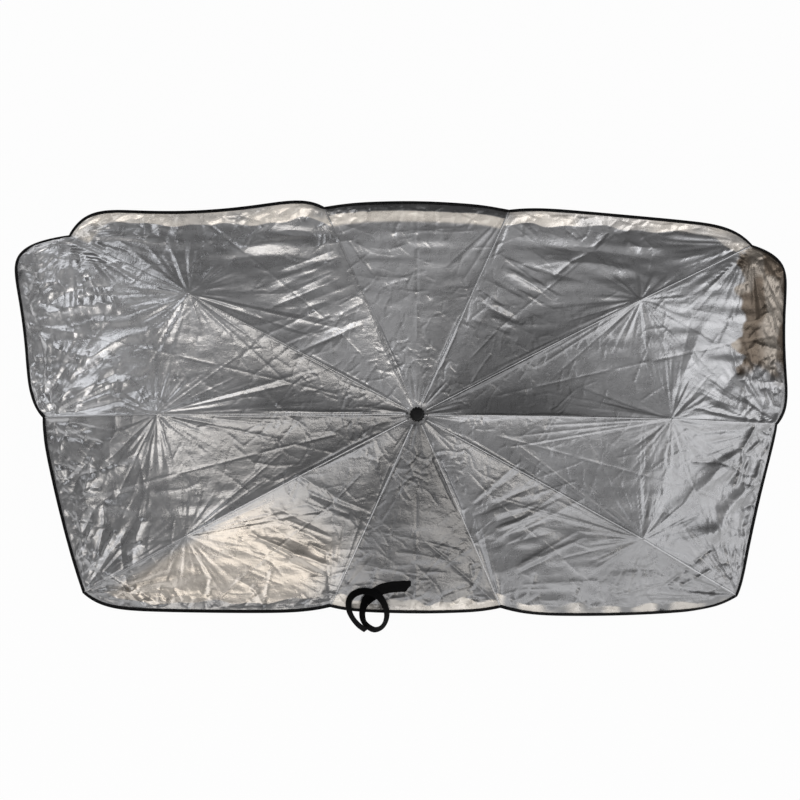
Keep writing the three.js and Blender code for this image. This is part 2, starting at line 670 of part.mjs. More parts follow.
// The folded tape that holds the hem: a C section that runs round all ten gores
function hemBinding() {
  const inner = CLOTH / 2 + BINDING_CLEARANCE;
  const outside = inner + BINDING_WALL;
  const section = [
    [-BINDING_DEPTH, outside],
    [BINDING_EDGE, outside],
    [BINDING_EDGE, -outside],
    [-BINDING_DEPTH, -outside],
    [-BINDING_DEPTH, -inner],
    [BINDING_CLEARANCE, -inner],
    [BINDING_CLEARANCE, inner],
    [-BINDING_DEPTH, inner],
  ];
  const hem = ROWS - 1;
  const rings = [];
  surfaces.forEach((surface, number) => {
    const previous = surfaces[(number + ARMS.length - 1) % ARMS.length];
    for (let column = 0; column < COLUMNS.length - 1; column++) {
      const corner = column === 0;
      const point = corner ? clothLines[number].points[hem] : surface[hem][column];
      const behind = corner ? clothLines[number].points[hem - 1] : surface[hem - 1][column];
      const before = corner ? previous[hem][COLUMNS.length - 2] : surface[hem][column - 1];
      const outward = point.clone().sub(behind).normalize();
      const ahead = surface[hem][column + 1].clone().sub(point).normalize();
      const back = point.clone().sub(before).normalize();
      const slant = Math.min(ahead.cross(outward).length(), back.cross(outward).length());
      const spread = 1 / Math.max(slant, 0.6);
      rings.push(section.map(([depth, height]) => (
        point.clone()
          .addScaledVector(outward, depth * spread)
          .addScaledVector(normals[number][hem][column], height)
      )));
    }
  });
  return loft(rings, true, (i) => i >= 4);
}

// The fastening strap: a flat free end on the cloth, cut at a slant, then one and a half turns that
// lean inwards. Each point is its place from the middle of the coil, its height over the cloth and
// its twist from flat, in degrees.
const STRAP_ROUTE = [
  [81.5, 48.2, 0.9, 0],
  [63.3, 47.6, 0.9, 0],
  [47.7, 46.6, 0.9, 0],
  [32.1, 43.6, 1.1, 0],
  [21.2, 38.7, 1.5, 3],
  [11.4, 31.8, 4.2, 14],
  [2, 24, 9, 38],
  [-3.6, 16, 11.6, 54],
  [-6.3, 5.6, 12.6, 60],
  [-6.4, -5, 11.4, 60],
  [-3.2, -15.8, 8, 58],
  [5.3, -25.7, 6, 52],
  [16.3, -31.1, 5, 50],
  [27.7, -27.2, 6, 56],
  [35, -17.3, 8, 60],
  [37.8, -4.8, 10, 60],
  [36.7, 7.1, 11, 60],
  [32.5, 17.9, 12.5, 60],
  [25.5, 28.7, 14.5, 60],
  [15, 37.4, 16, 62],
  [1.5, 41.5, 16, 66],
  [-11.9, 40.3, 14.5, 66],
  [-23.2, 34.4, 12.5, 64],
  [-30.1, 24.7, 11.5, 62],
  [-31.4, 14.1, 12.4, 60],
  [-29.8, 3.5, 12, 60],
  [-25.5, -6.1, 10.6, 60],
  [-18.8, -15.8, 8.5, 58],
  [-9.8, -24.9, 7.5, 55],
  [1.2, -32, 6.5, 52],
];
const STRAP_STEPS = 46;

function strap() {
  const path = new THREE.CatmullRomCurve3(STRAP_ROUTE.map(([x, y, z]) => new THREE.Vector3(x, y, z)));
  const twists = new THREE.CatmullRomCurve3(STRAP_ROUTE.map((row) => new THREE.Vector3(row[3], 0, 0)));
  const up = new THREE.Vector3(0, 0, 1);
  const rings = [];
  for (let step = 0; step <= STRAP_STEPS; step++) {
    const share = step / STRAP_STEPS;
    const point = path.getPoint(share);
    const along = path.getTangent(share).setZ(0).normalize();
    const twist = radians(twists.getPoint(share).x);
    const side = new THREE.Vector3().crossVectors(up, along);
    const wide = side.clone().multiplyScalar(Math.cos(twist)).addScaledVector(up, Math.sin(twist));
    const thick = side.clone().multiplyScalar(-Math.sin(twist)).addScaledVector(up, Math.cos(twist));
    const cutBack = step === 0 ? STRAP_CUT : 0;
    rings.push([[-1, -1], [1, -1], [1, 1], [-1, 1]].map(([w, t]) => (
      point.clone()
        .addScaledVector(along, Math.max(w, 0) * cutBack)
        .addScaledVector(wide, (w * STRAP_WIDTH) / 2)
        .addScaledVector(thick, (t * STRAP_THICKNESS) / 2)
    )));
  }
  return loft(rings, false, (i) => i === 2);
}

// Assembly: nested groups follow the joints of the frame
const frame = new THREE.Group();

function place(name, geometry, finish, parent = frame) {
  const mesh = new THREE.Mesh(geometry, new THREE.MeshStandardMaterial(finishes[finish]));
  mesh.name = name;
  parent.add(mesh);
  return mesh;
}

function pivotGroup(parent, x, z, droop) {
  const group = new THREE.Group();
  group.position.set(x, 0, z);
  group.rotation.y = radians(droop);
  parent.add(group);
  return group;
}

place('crown', crown(), 'black_plastic');
place('crown_cap', crownCap(), 'black_plastic');
place('upper_tube', tube(UPPER_TUBE_RADIUS, CROWN_TOP - GAP, UPPER_TUBE_END), 'steel');
place('middle_tube', tube(MIDDLE_TUBE_RADIUS, MIDDLE_TUBE_TOP, MIDDLE_TUBE_END), 'steel');
place('lower_tube', tube(LOWER_TUBE_RADIUS, LOWER_TUBE_TOP, HANDLE_TOP - SOCKET_DEPTH), 'steel');
place('handle', handle(), 'black_plastic');
place('handle_cap', handleCap(), 'black_plastic');
place('runner', runner(), 'black_plastic');
place('release_button', releaseButton(), 'black_plastic');

// The stretcher's length and slope follow from its pin on the top rib and its pin on the runner
const stretcherPin = swung([STRETCHER_PIN_X, -STRETCHER_PIN_DROP], TOP_DROOP);
const stretcherRun = new THREE.Vector2(-stretcherPin[0], -RUNNER_DROP - stretcherPin[1]);
const stretcherLength = stretcherRun.length();
const stretcherDroop = THREE.MathUtils.radToDeg(Math.atan2(-stretcherRun.y, stretcherRun.x));

ARMS.forEach(({ azimuth, middle, outer }, index) => {
  const number = index + 1;
  const arm = new THREE.Group();
  arm.rotation.z = radians(azimuth);
  frame.add(arm);
  const top = pivotGroup(arm, PIVOT_RADIUS, 0, TOP_DROOP);
  place(`top_rib_${number}`, topRib(), 'steel', top);
  const stay = pivotGroup(top, STRETCHER_PIN_X, -STRETCHER_PIN_DROP, stretcherDroop - TOP_DROOP);
  place(`stretcher_${number}`, stretcher(stretcherLength), 'steel', stay);
  const knee = pivotGroup(top, TOP_LENGTH, KNEE_RISE, MIDDLE_DROOP - TOP_DROOP);
  place(`middle_rib_${number}`, middleRib(middle, outer > 0), 'steel', knee);
  if (outer) {
    const second = pivotGroup(knee, middle, -2 * KNEE_RISE, OUTER_DROOP - MIDDLE_DROOP);
    place(`outer_rib_${number}`, outerRib(outer), 'glass_fibre', second);
  }
});

ARMS.forEach((_, number) => {
  place(`gore_${number + 1}`, gore(number), 'silver');
});
place('hem_binding', hemBinding(), 'black_cloth');

// The strap lies on the lower middle gore, at that gore's slope, and its coil hangs over the hem
const strapGore = surfaces[LOWER_MIDDLE_GORE];
const hemMiddle = strapGore[ROWS - 1][MIDDLE_COLUMN];
const rowBehind = strapGore[ROWS - 3][MIDDLE_COLUMN];
const strapSlope = Math.atan2(rowBehind.z - hemMiddle.z, rowBehind.y - hemMiddle.y);
const strapGroup = new THREE.Group();
const bindingTop = CLOTH / 2 + BINDING_CLEARANCE + BINDING_WALL;
strapGroup.position.set(STRAP_X, hemMiddle.y, hemMiddle.z + bindingTop + GAP);
strapGroup.rotation.x = strapSlope;
frame.add(strapGroup);
place('strap', strap(), 'black_cloth', strapGroup);

// Rest: turned about X until the handle's rim and the lower hem corners reach one level
const lowerCorner = clothLines[LOWER_LEFT_ARM].points[ROWS - 1];
const REST_TILT = Math.atan2(lowerCorner.z - HANDLE_END, -lowerCorner.y - HANDLE_RADIUS);
frame.rotation.x = REST_TILT;

// The origin is the middle of the footprint of the object's box, on the surface that it rests on
const sunshade = new THREE.Group();
sunshade.add(frame);
const bounds = new THREE.Box3().setFromObject(sunshade, true);
const boxMiddle = bounds.getCenter(new THREE.Vector3());
frame.position.set(-boxMiddle.x, -boxMiddle.y, -bounds.min.z);

export default sunshade;
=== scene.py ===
"""Blender scene of a folding windscreen sunshade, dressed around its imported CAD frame.

Lengths are in millimetres in the umbrella's own axes, as in the CAD source: the crown's pivot plane
is z = 0, +Z points to the cap and +Y to the wide upper edge. A point goes to metres in the row frame
only when a mesh is made.
"""
import json
import math

import bpy
import numpy as np
from mathutils import Matrix, Vector


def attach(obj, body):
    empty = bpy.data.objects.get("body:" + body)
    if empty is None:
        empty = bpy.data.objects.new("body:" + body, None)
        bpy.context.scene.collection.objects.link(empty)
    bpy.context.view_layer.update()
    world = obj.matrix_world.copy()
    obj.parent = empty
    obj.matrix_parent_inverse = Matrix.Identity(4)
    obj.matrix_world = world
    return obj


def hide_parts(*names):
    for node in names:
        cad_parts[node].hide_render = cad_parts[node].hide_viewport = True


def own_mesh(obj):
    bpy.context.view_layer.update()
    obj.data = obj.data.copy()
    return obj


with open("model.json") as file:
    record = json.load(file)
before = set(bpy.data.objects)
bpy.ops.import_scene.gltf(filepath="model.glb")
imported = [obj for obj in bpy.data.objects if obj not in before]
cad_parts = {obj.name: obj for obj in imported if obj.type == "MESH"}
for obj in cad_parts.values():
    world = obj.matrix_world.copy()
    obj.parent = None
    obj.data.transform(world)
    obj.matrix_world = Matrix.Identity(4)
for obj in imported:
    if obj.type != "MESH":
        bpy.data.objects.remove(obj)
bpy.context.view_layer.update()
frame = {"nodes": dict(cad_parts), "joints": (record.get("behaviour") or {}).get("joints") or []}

MM = 0.001
SEED = 11
random = np.random.default_rng(SEED)

# Arms, counted from the upper right tip anticlockwise, as seen from above
ARM_ANGLES = np.radians([28, 66, 114, 152, 180, 208, 246, 294, 332, 0])
ARM_COUNT = len(ARM_ANGLES)
ARMS = range(1, ARM_COUNT + 1)
TOP_LENGTH = 232
LONG_MIDDLE = 231
SHORT_MIDDLES = {2: 168, 3: 168, 7: 126, 8: 126}
OUTER_LENGTHS = {1: 265, 4: 265, 5: 215, 6: 216, 9: 216, 10: 215}
TOP_DROOP = 2
MIDDLE_DROOP = 6
OUTER_DROOP = 20
HALF_RIB = 1.6
ROD_RADIUS = 1.3
EAR_RADIUS = 2.2
KNEE_RISE = 3
PIVOT_RADIUS = 11
CROWN_TOP = 4.5
GAP = 0.3
CLOTH = 1.5
CLOTH_HOLE = 6
CLOTH_LIFT = 1
CLOTH_BEYOND_CROWN = 15.5
HEM_REACH = 12
CORNER_DIP = 4.5
CLOTH_SAG = 9
SAG_START = 0.06
BULGE_START = 0.55

# Each gore's hem bulge beyond its chord: near the first arm, at mid-gore, near the next arm, and its hang
HEMS = [
    (32, 24, 15, 8),
    (12, 17, 12, 5),
    (22, 21, 44, 8),
    (106, 66, 40, 26),
    (9, 10, 6, 6),
    (29, 24, 16, 8),
    (9, 12, 9, 5),
    (18, 25, 24, 8),
    (5, 2, 3, 6),
    (37, 46, 70, 22),
]
BULGE_SHARE = 0.35

# How far inside the slack hem it folds, by gore, and how far its edge then stands up or hangs down
HEM_FOLDS = {
    1: (38, 9),
    2: (20, -6),
    3: (43, 10),
    4: (42, -6),
    6: (26, 6),
    7: (20, -6),
    8: (24, -8),
    10: (46, -7),
}

# The cloth's rows of control points, and how finely each span and each gore is meshed
LAST_ROW = 8
KNEE_ROW = 3
TIP_KNEE_ROW = 5
ROW_STEPS = [4, 40, 40, 36, 36, 42, 42, 6]
COLUMNS = 112
SKIN_LIFT = 0.2
LINING_DROP = 0.7
LINING_WINDOW = 5
HEM_MARGIN = 6
KNEE_SMOOTHING = 26


# Where the umbrella stands in the row frame
def umbrella_axes():
    """Gives the crown's centre in metres and the umbrella's axes as the columns of a rotation."""
    joints = {joint["name"]: joint for joint in frame["joints"]}
    left = np.array(joints["fold_5"]["pos_m"])
    right = np.array(joints["fold_10"]["pos_m"])
    up = -np.array(joints["runner_slide"]["axis"], float)
    up /= np.linalg.norm(up)
    across = np.array([1.0, 0.0, 0.0])
    return (left + right) / 2, np.column_stack([across, np.cross(up, across), up])


CENTRE, AXES = umbrella_axes()


def to_row(points):
    """Takes points from umbrella millimetres to row-frame metres."""
    return np.asarray(points) @ AXES.T * MM + CENTRE


def turned(vectors):
    """Takes directions from the umbrella's axes to the row frame."""
    return np.asarray(vectors) @ AXES.T


def smooth_step(low, high, value):
    share = np.clip((value - low) / (high - low), 0, 1)
    return share * share * (3 - 2 * share)


def unit(vectors):
    return vectors / np.maximum(np.linalg.norm(vectors, axis=-1, keepdims=True), 1e-9)


def distances(path):
    """How far along a path each of its points lies."""
    return np.concatenate([[0], np.cumsum(np.linalg.norm(np.diff(path, axis=0), axis=1))])


# The cloth's line over each arm
def swung(point, droop):
    """Turns a point of an arm's plane, given as outward and up, down by an angle in degrees."""
    angle = math.radians(droop)
    outward, up = point
    return np.array([
        outward * math.cos(angle) + up * math.sin(angle),
        up * math.cos(angle) - outward * math.sin(angle),
    ])


def cloth_line(arm):
    """Gives the nine control points of the cloth over one arm, as outward and up."""
    above = HALF_RIB + CLOTH_LIFT + CLOTH / 2
    flat = CROWN_TOP + GAP + CLOTH / 2
    over_pin = KNEE_RISE + EAR_RADIUS + CLOTH_LIFT / 2 + CLOTH / 2
    pivot = np.array([PIVOT_RADIUS, 0])
    knee = pivot + swung((TOP_LENGTH, KNEE_RISE), TOP_DROOP)
    over_knee = pivot + swung((TOP_LENGTH, over_pin), TOP_DROOP)
    start = np.array([CLOTH_HOLE, flat])
    edge = np.array([CLOTH_BEYOND_CROWN, flat])
    rows = [start, edge, (edge + over_knee) / 2, over_knee]
    middle = LONG_MIDDLE if arm in OUTER_LENGTHS else SHORT_MIDDLES[arm]
    if arm in OUTER_LENGTHS:
        outer = OUTER_LENGTHS[arm]
        over_middle = knee + swung((middle, above - KNEE_RISE), MIDDLE_DROOP)
        second = knee + swung((middle, -2 * KNEE_RISE), MIDDLE_DROOP)
        rise = KNEE_RISE + ROD_RADIUS + CLOTH_LIFT + CLOTH / 2
        near_tip = second + swung((outer + GAP, rise), OUTER_DROOP)
        hem = second + swung((outer + HEM_REACH, rise - CORNER_DIP), OUTER_DROOP)
        rows += [(over_knee + over_middle) / 2, over_middle, (over_middle + near_tip) / 2, near_tip, hem]
    else:
        near_tip = knee + swung((middle + GAP, above - KNEE_RISE), MIDDLE_DROOP)
        hem = knee + swung((middle + HEM_REACH, above - KNEE_RISE - CORNER_DIP), MIDDLE_DROOP)
        rows += [over_knee + (near_tip - over_knee) * share for share in (0.3, 0.55, 0.8)]
        rows += [near_tip, hem]
    return np.array(rows)


def odd_padded(values, count):
    """Carries a curve on past both ends by its own point reflection, so smoothing keeps its ends."""
    before = 2 * values[0] - values[count:0:-1]
    after = 2 * values[-1] - values[-2:-2 - count:-1]
    return np.concatenate([before, values, after])


class ArmLine:
    """One arm's cloth line: its points, its shares of length and its softened form between the arms."""

    STEP = 2.0

    def __init__(self, arm):
        self.rows = cloth_line(arm)
        self.lengths = distances(self.rows)
        self.angle = ARM_ANGLES[arm - 1]
        self.along = np.arange(0, self.lengths[-1] + self.STEP, self.STEP)
        reach = int(3 * KNEE_SMOOTHING / self.STEP)
        kernel = np.exp(-0.5 * (np.arange(-reach, reach + 1) * self.STEP / KNEE_SMOOTHING) ** 2)
        kernel /= kernel.sum()
        sharp = self.sharp(self.along)
        self.soft = [np.convolve(odd_padded(values, reach), kernel, "valid") for values in sharp]

    def sharp(self, length):
        return [np.interp(length, self.lengths, self.rows[:, axis]) for axis in (0, 1)]

    def length_at(self, row):
        return np.interp(row, np.arange(LAST_ROW + 1), self.lengths)

    def share_at(self, row):
        return self.length_at(row) / self.lengths[-1]

    def point(self, row, softness):
        """Gives the line's points in space; softness 1 rounds the line off at its knees."""
        length = self.length_at(row)
        soft = [np.interp(length, self.along, values) for values in self.soft]
        outward, up = (a + (b - a) * softness for a, b in zip(self.sharp(length), soft))
        return np.stack([outward * np.cos(self.angle), outward * np.sin(self.angle), up], axis=-1)


LINES = {arm: ArmLine(arm) for arm in ARMS}


def next_arm(arm):
    return arm % ARM_COUNT + 1


def slack(across):
    """How free a gore's hem is: 1 over most of it, down to 0 at the arms that hold it."""
    return 1 - np.abs(2 * across - 1) ** 6


def gore_surface(gore, row, across):
    """Gives a gore's smooth points; row runs 0 to 8 from crown to hem, across 0 to 1 from arm to arm."""
    row, across = np.broadcast_arrays(row, across)
    first, second = LINES[gore], LINES[next_arm(gore)]
    softness = smooth_step(0, 0.3, np.minimum(across, 1 - across))
    start = first.point(row, softness)
    end = second.point(row, softness)
    share = first.share_at(row) * (1 - across) + second.share_at(row) * across
    chord = second.point(LAST_ROW, 0.0) - first.point(LAST_ROW, 0.0)
    outward = unit(np.array([chord[1], -chord[0], 0]))
    near, middle, far, hang = HEMS[gore - 1]
    place = (across - 0.5) / BULGE_SHARE
    bulge = middle + (far - near) * place / 2 + (near + far - 2 * middle) * place ** 2 / 2
    edge = slack(across)
    reach = np.maximum(0, (share - BULGE_START) / (1 - BULGE_START)) ** 1.5
    point = start + (end - start) * across[..., None]
    point = point + outward * (bulge * edge * reach)[..., None]
    sagging = np.maximum(0, share - SAG_START)
    sag = CLOTH_SAG * 4 * across * (1 - across) * 4 * sagging * (1 - share)
    point[..., 2] -= sag + hang * edge * reach ** 2
    return point


# Creases and folds, drawn as a height over the umbrella's plan
GRID_STEP = 1.5
GRID_X = 770
GRID_Y = 430
grid_x = np.arange(-GRID_X, GRID_X + GRID_STEP, GRID_STEP)
grid_y = np.arange(-GRID_Y, GRID_Y + GRID_STEP, GRID_STEP)
plan_x, plan_y = np.meshgrid(grid_x, grid_y)
relief = np.zeros_like(plan_x)


def crease(start, end, width, height):
    """Adds one folded line: a crisp ridge, or a valley where the height is negative, fading at its ends."""
    (x0, y0), (x1, y1) = start, end
    margin = 4 * width
    low_x, high_x = sorted((x0, x1))
    low_y, high_y = sorted((y0, y1))
    i0, i1 = np.searchsorted(grid_x, [low_x - margin, high_x + margin])
    j0, j1 = np.searchsorted(grid_y, [low_y - margin, high_y + margin])
    if i0 >= i1 or j0 >= j1:
        return
    px = grid_x[None, i0:i1] - x0
    py = grid_y[j0:j1, None] - y0
    length = math.hypot(x1 - x0, y1 - y0) + 1e-6
    tx, ty = (x1 - x0) / length, (y1 - y0) / length
    along = (px * tx + py * ty) / length
    aside = np.abs(py * tx - px * ty) / width
    fade = np.clip(np.minimum(along, 1 - along) * 5, 0, 1)
    fade = np.where((along < 0) | (along > 1), 0, np.sqrt(fade))
    relief[j0:j1, i0:i1] += height * fade * np.exp(-aside - 0.15 * aside ** 2)


# Broad folds: where each one starts and ends in plan, its width and its height
SWELLS = [
    ((625, -25), (505, -165), 17, 10),
    ((665, -70), (560, -215), 15, 10),
    ((600, -175), (490, -235), 14, 7),
    ((-500, 150), (-640, 90), 12, 5),
    ((-520, 60), (-680, 30), 11, 5),
    ((-560, 205), (-690, 190), 12, 6),
    ((-590, 20), (-690, -30), 10, -5),
    ((-470, -60), (-600, -110), 12, 4),
    ((-500, -190), (-610, -150), 11, 4),
    ((-560, -60), (-620, -220), 12, 4),
    ((-330, 330), (-140, 345), 12, -6),
    ((-420, 300), (-150, 318), 12, 6),
    ((-380, 285), (-160, 290), 12, -5),
    ((180, 330), (420, 300), 12, -5),
    ((200, 300), (440, 265), 12, 5),
    ((470, 60), (560, 190), 14, 5),
    ((560, 30), (650, 130), 12, -4),
]


def polar(radius, angle, centre=(0, 0)):
    """The plan point at a distance and an angle from a centre."""
    return centre[0] + radius * math.cos(angle), centre[1] + radius * math.sin(angle)


def chain(start, heading, pieces, length, turn, width, height):
    """A crumple: short creases end to end that change direction at each bend."""
    for _ in range(pieces):
        heading += random.normal(0, turn)
        end = polar(length * random.uniform(0.6, 1.4), heading, start)
        crease(start, end, width, height * random.uniform(0.6, 1.3))
        start = end


def either(size=1):
    """A height that stands up or hangs down, by chance."""
    return size * random.choice([-1, 1])


HUB_RAYS = 110
SIDE_RAYS_SHARE = 0.45


def hub_rays():
    """Fine pleats that run out from under the cap, most of them towards the two sides."""
    for _ in range(HUB_RAYS):
        angle = random.uniform(0, 2 * math.pi)
        if random.uniform() < SIDE_RAYS_SHARE:
            angle = random.choice([0, math.pi]) + random.normal(0, 0.35)
        start = random.uniform(13, 26)
        end = start + random.uniform(18, 85)
        lean = angle + random.normal(0, 0.05)
        crease(polar(start, angle), polar(end, lean), random.uniform(1.6, 3.4), random.uniform(-0.6, 1.5))


# Rings of crumples: their radius, its spread, how many and how high
RINGS = [(104, 15, 120, 0.9), (150, 45, 110, 0.6), (225, 25, 90, 0.75)]
RING_PIECE = 17
RING_TURN = 0.6


def ring_crumples():
    """Crumples that run round the hub where the folded cloth was bunched."""
    for radius, spread, count, height in RINGS:
        for _ in range(count):
            angle = random.uniform(0, 2 * math.pi)
            start = polar(random.normal(radius, spread), angle)
            heading = angle + math.pi / 2 + random.normal(0, 0.5)
            pieces = random.integers(1, 5)
            width = random.uniform(1.5, 2.5)
            chain(start, heading, pieces, RING_PIECE, RING_TURN, width, height * random.choice([-1, 1, 1]))


def star(centre, count, reach, width, height, lean=0, spread=math.pi):
    """Creases that run out from one point that holds the cloth up."""
    for _ in range(count):
        angle = random.uniform(-spread, spread) + lean
        start = random.uniform(1, 9)
        end = start + reach * random.uniform(0.25, 1.2)
        a = polar(start, angle, centre)
        b = polar(end, angle + random.normal(0, 0.03), centre)
        crease(a, b, width * random.uniform(0.6, 1.5), either(height) * random.uniform(0.5, 1.2))


def plan(arm, row):
    """Where a row of the cloth crosses an arm, in plan."""
    point = LINES[arm].point(row, 0.0)
    return point[0], point[1]


def spot(gore, row, across):
    """A point of a gore in plan, and the heading from there straight across the gore."""
    here = gore_surface(gore, row, across)
    beside = gore_surface(gore, row, across + 0.02)
    return (here[0], here[1]), math.atan2(beside[1] - here[1], beside[0] - here[0])


# The gores beside the two level arms, and those at the left end
SIDE_GORES = (4, 5, 9, 10)
LEFT_GORES = (4, 5)

# How strongly the folds show that run out from each long arm's outer knee
KNEE_STARS = {1: 0.9, 4: 1.0, 5: 0.9, 6: 0.35, 9: 1.0, 10: 0.9}
FOLDS_BESIDE_ARM = 10


def arm_folds():
    """Long pulled folds that run beside each arm and fan out from its knees and tip."""
    for arm, angle in enumerate(ARM_ANGLES, start=1):
        tip = plan(arm, LAST_ROW)
        long_arm = arm in OUTER_LENGTHS
        star(plan(arm, KNEE_ROW), 7, 45, 2.4, 0.7)
        star(tip, 24 if long_arm else 9, 150, 3.4, 1.5, lean=angle + math.pi, spread=0.5)
        if long_arm:
            knee = plan(arm, TIP_KNEE_ROW)
            share = KNEE_STARS[arm]
            star(knee, 44, 105, 2.1, 0.95 * share)
            star(knee, 14, 190, 2.2, share)
            star(knee, 14, 260, 2.4, 1.1, lean=angle + math.pi, spread=0.3)
        for _ in range(FOLDS_BESIDE_ARM):
            side = either() * random.uniform(0.012, 0.07)
            start = random.uniform(20, 120)
            end = random.uniform(150, 330 if long_arm else 232)
            crease(polar(start, angle + side), polar(end, angle + side * 0.3), 2.4, either(1.1))


# The side of each short arm that its ripples run to
RIPPLE_SIDES = {2: -1, 3: 1, 7: -1, 8: 1}
RIPPLES = 26


def arm_ripples():
    """Ripples that cross a short arm near its tip and run on into the wide gore beside it."""
    for arm, side in RIPPLE_SIDES.items():
        angle = ARM_ANGLES[arm - 1]
        for _ in range(RIPPLES):
            radius = random.uniform(190, 340)
            offset = random.uniform(4, 70)
            length = random.uniform(50, 150)
            heading = angle + side * math.pi / 2 + random.normal(0, 0.08)
            start = polar(offset, heading, polar(radius, angle))
            end = polar(length, heading, start)
            crease(start, end, random.uniform(4, 8), either() * random.uniform(1.0, 2.2))


def swells():
    """Broad folds that stand up across the slack corner gores and fade out along their length."""
    for (x0, y0), (x1, y1), width, height in SWELLS:
        length = math.hypot(x1 - x0, y1 - y0)
        tx, ty = (x1 - x0) / length, (y1 - y0) / length
        along = ((plan_x - (x0 + x1) / 2) * tx + (plan_y - (y0 + y1) / 2) * ty) / (0.55 * length)
        bow = 9 * np.sin(along * 2.2 + x0 / 50)
        aside = ((plan_y - y0) * tx - (plan_x - x0) * ty + bow) / width
        fading = np.exp(-np.abs(aside) ** 1.6 - 1.4 * along ** 4)
        relief[:] += height * fading * (0.75 + 0.25 * np.cos(5 * along))


# How many sharp folds stand in each gore's slack corner
CORNER_FOLDS = {4: 34, 5: 28, 9: 6, 10: 16, 3: 10, 1: 10, 8: 4}
CORNER_PIECE = 42


def corner_folds():
    """Sharp deep folds in the slack corners, most of them pulled towards the nearest arm's tip."""
    for gore, count in CORNER_FOLDS.items():
        for _ in range(count):
            across = random.uniform(0.03, 0.97)
            row = random.uniform(5.5 if gore in LEFT_GORES else 6.2, 7.3)
            (x, y), _ = spot(gore, row, across)
            tip = plan(gore if across < 0.5 else next_arm(gore), LAST_ROW)
            heading = math.atan2(tip[1] - y, tip[0] - x) + random.normal(0, 0.45)
            height = either() * random.uniform(1.5, 4.5)
            chain((x, y), heading, random.integers(1, 4), CORNER_PIECE, 0.25, random.uniform(3.5, 8), height)


def gore_folds():
    """The line each gore was pressed along at its middle, and the waves that cross the gores."""
    for gore in ARMS:
        line = gore_surface(gore, np.linspace(2.2, 7.6, 9), 0.5)
        for a, b in zip(line[:-1], line[1:]):
            crease((a[0], a[1]), (b[0], b[1]), 2.2, random.choice([-1.1, 1.0]))
        count, wander, lengths = (60, 0.55, (16, 42)) if gore in SIDE_GORES else (34, 0.22, (20, 60))
        for _ in range(count):
            row = random.uniform(2.6, 7.4)
            start, heading = spot(gore, row, random.uniform(0.08, 0.92))
            heading += random.normal(0, wander)
            length = random.uniform(*lengths)
            chain(start, heading, random.integers(1, 4), length, 0.35, random.uniform(1.8, 3.2), 0.75)


HEM_CRUMPLES = {4: 30, 10: 40}
OTHER_HEM_CRUMPLES = 34
CRUMPLED_ROW = 7.4
INMOST_CRUMPLE = 5.2
HEM_PIECE = 22


def hem_crumples():
    """Short folds in the slack edge, square to the hem or along the fold where it turns down."""
    for gore in ARMS:
        spread = 0.5 if gore in HEM_CRUMPLES else 0.3
        for _ in range(HEM_CRUMPLES.get(gore, OTHER_HEM_CRUMPLES)):
            across = random.uniform(0.04, 0.96)
            row = CRUMPLED_ROW - abs(random.normal(0, spread))
            start, heading = spot(gore, max(row, INMOST_CRUMPLE), across)
            heading += random.choice([0, 0.5]) * math.pi + random.normal(0, 0.5)
            height = either(1.6)
            chain(start, heading, random.integers(1, 4), HEM_PIECE, 0.5, random.uniform(2.6, 5), height)


def between(grid, i0, i1, j0, j1, u, v):
    """Reads a grid between its four nearest values."""
    low = grid[j0, i0] * (1 - u) + grid[j0, i1] * u
    high = grid[j1, i0] * (1 - u) + grid[j1, i1] * u
    return low * (1 - v) + high * v


NOISE_CELLS = 97
NOISE_OFFSET = (31.7, 17.3)


def value_noise(x, y, size_x, size_y, seed):
    """Smooth random waves, as values from -1 to 1 on a lattice of that cell size."""
    lattice = np.random.default_rng(SEED + seed).uniform(-1, 1, (NOISE_CELLS, NOISE_CELLS))
    cell_x = x / size_x + NOISE_OFFSET[0]
    cell_y = y / size_y + NOISE_OFFSET[1]
    i, j = np.floor(cell_x).astype(int), np.floor(cell_y).astype(int)
    u, v = smooth_step(0, 1, cell_x - i), smooth_step(0, 1, cell_y - j)
    i0, i1 = i % NOISE_CELLS, (i + 1) % NOISE_CELLS
    j0, j1 = j % NOISE_CELLS, (j + 1) % NOISE_CELLS
    return between(lattice, i0, i1, j0, j1, u, v)


def arm_distance(x, y):
    """How far plan points lie from the nearest arm, in millimetres."""
    angle = np.arctan2(y, x)
    gaps = np.stack([np.abs(np.angle(np.exp(1j * (angle - arm)))) for arm in ARM_ANGLES])
    return gaps.min(axis=0) * np.hypot(x, y)


def soft_waves():
    """Shallow swells and ripples of slack cloth between the arms."""
    x, y = plan_x, plan_y
    free = smooth_step(4, 46, arm_distance(x, y))
    swell = value_noise(x, y, 95, 70, 1) * 2.0
    ripple = value_noise(x, y, 60, 15, 2) * 1.5 * smooth_step(130, 300, np.abs(y) + 0.25 * np.abs(x))
    fine = value_noise(x + 7 * np.sin(y / 13), y, 17, 9, 3) * 0.22
    return free * (swell + ripple + fine)


# Fans of pleats: the row they start from, where they begin and stop to fade, how many and how high
PLEAT_FANS = [(TIP_KNEE_ROW, 60, 150, 11, 0.8), (LAST_ROW, 90, 250, 13, 1.9)]


def pleats():
    """Soft pleats that fan out from the outer knees and the tips, wider the further they run."""
    total = np.zeros_like(relief)
    for arm in OUTER_LENGTHS:
        for row, near, far, share, height in PLEAT_FANS:
            centre = plan(arm, row)
            x, y = plan_x - centre[0], plan_y - centre[1]
            away = np.hypot(x, y)
            bend = np.arctan2(y, x) + 0.03 * np.sin(away / 37 + arm)
            streak = value_noise(bend * share, away, 1, 75, 20 + arm + row)
            streak = streak + 0.25 * value_noise(bend * share * 2.3, away, 1, 80, 40 + arm + row)
            total += height * streak * smooth_step(4, near, away) * (1 - smooth_step(near, far, away))
    return total


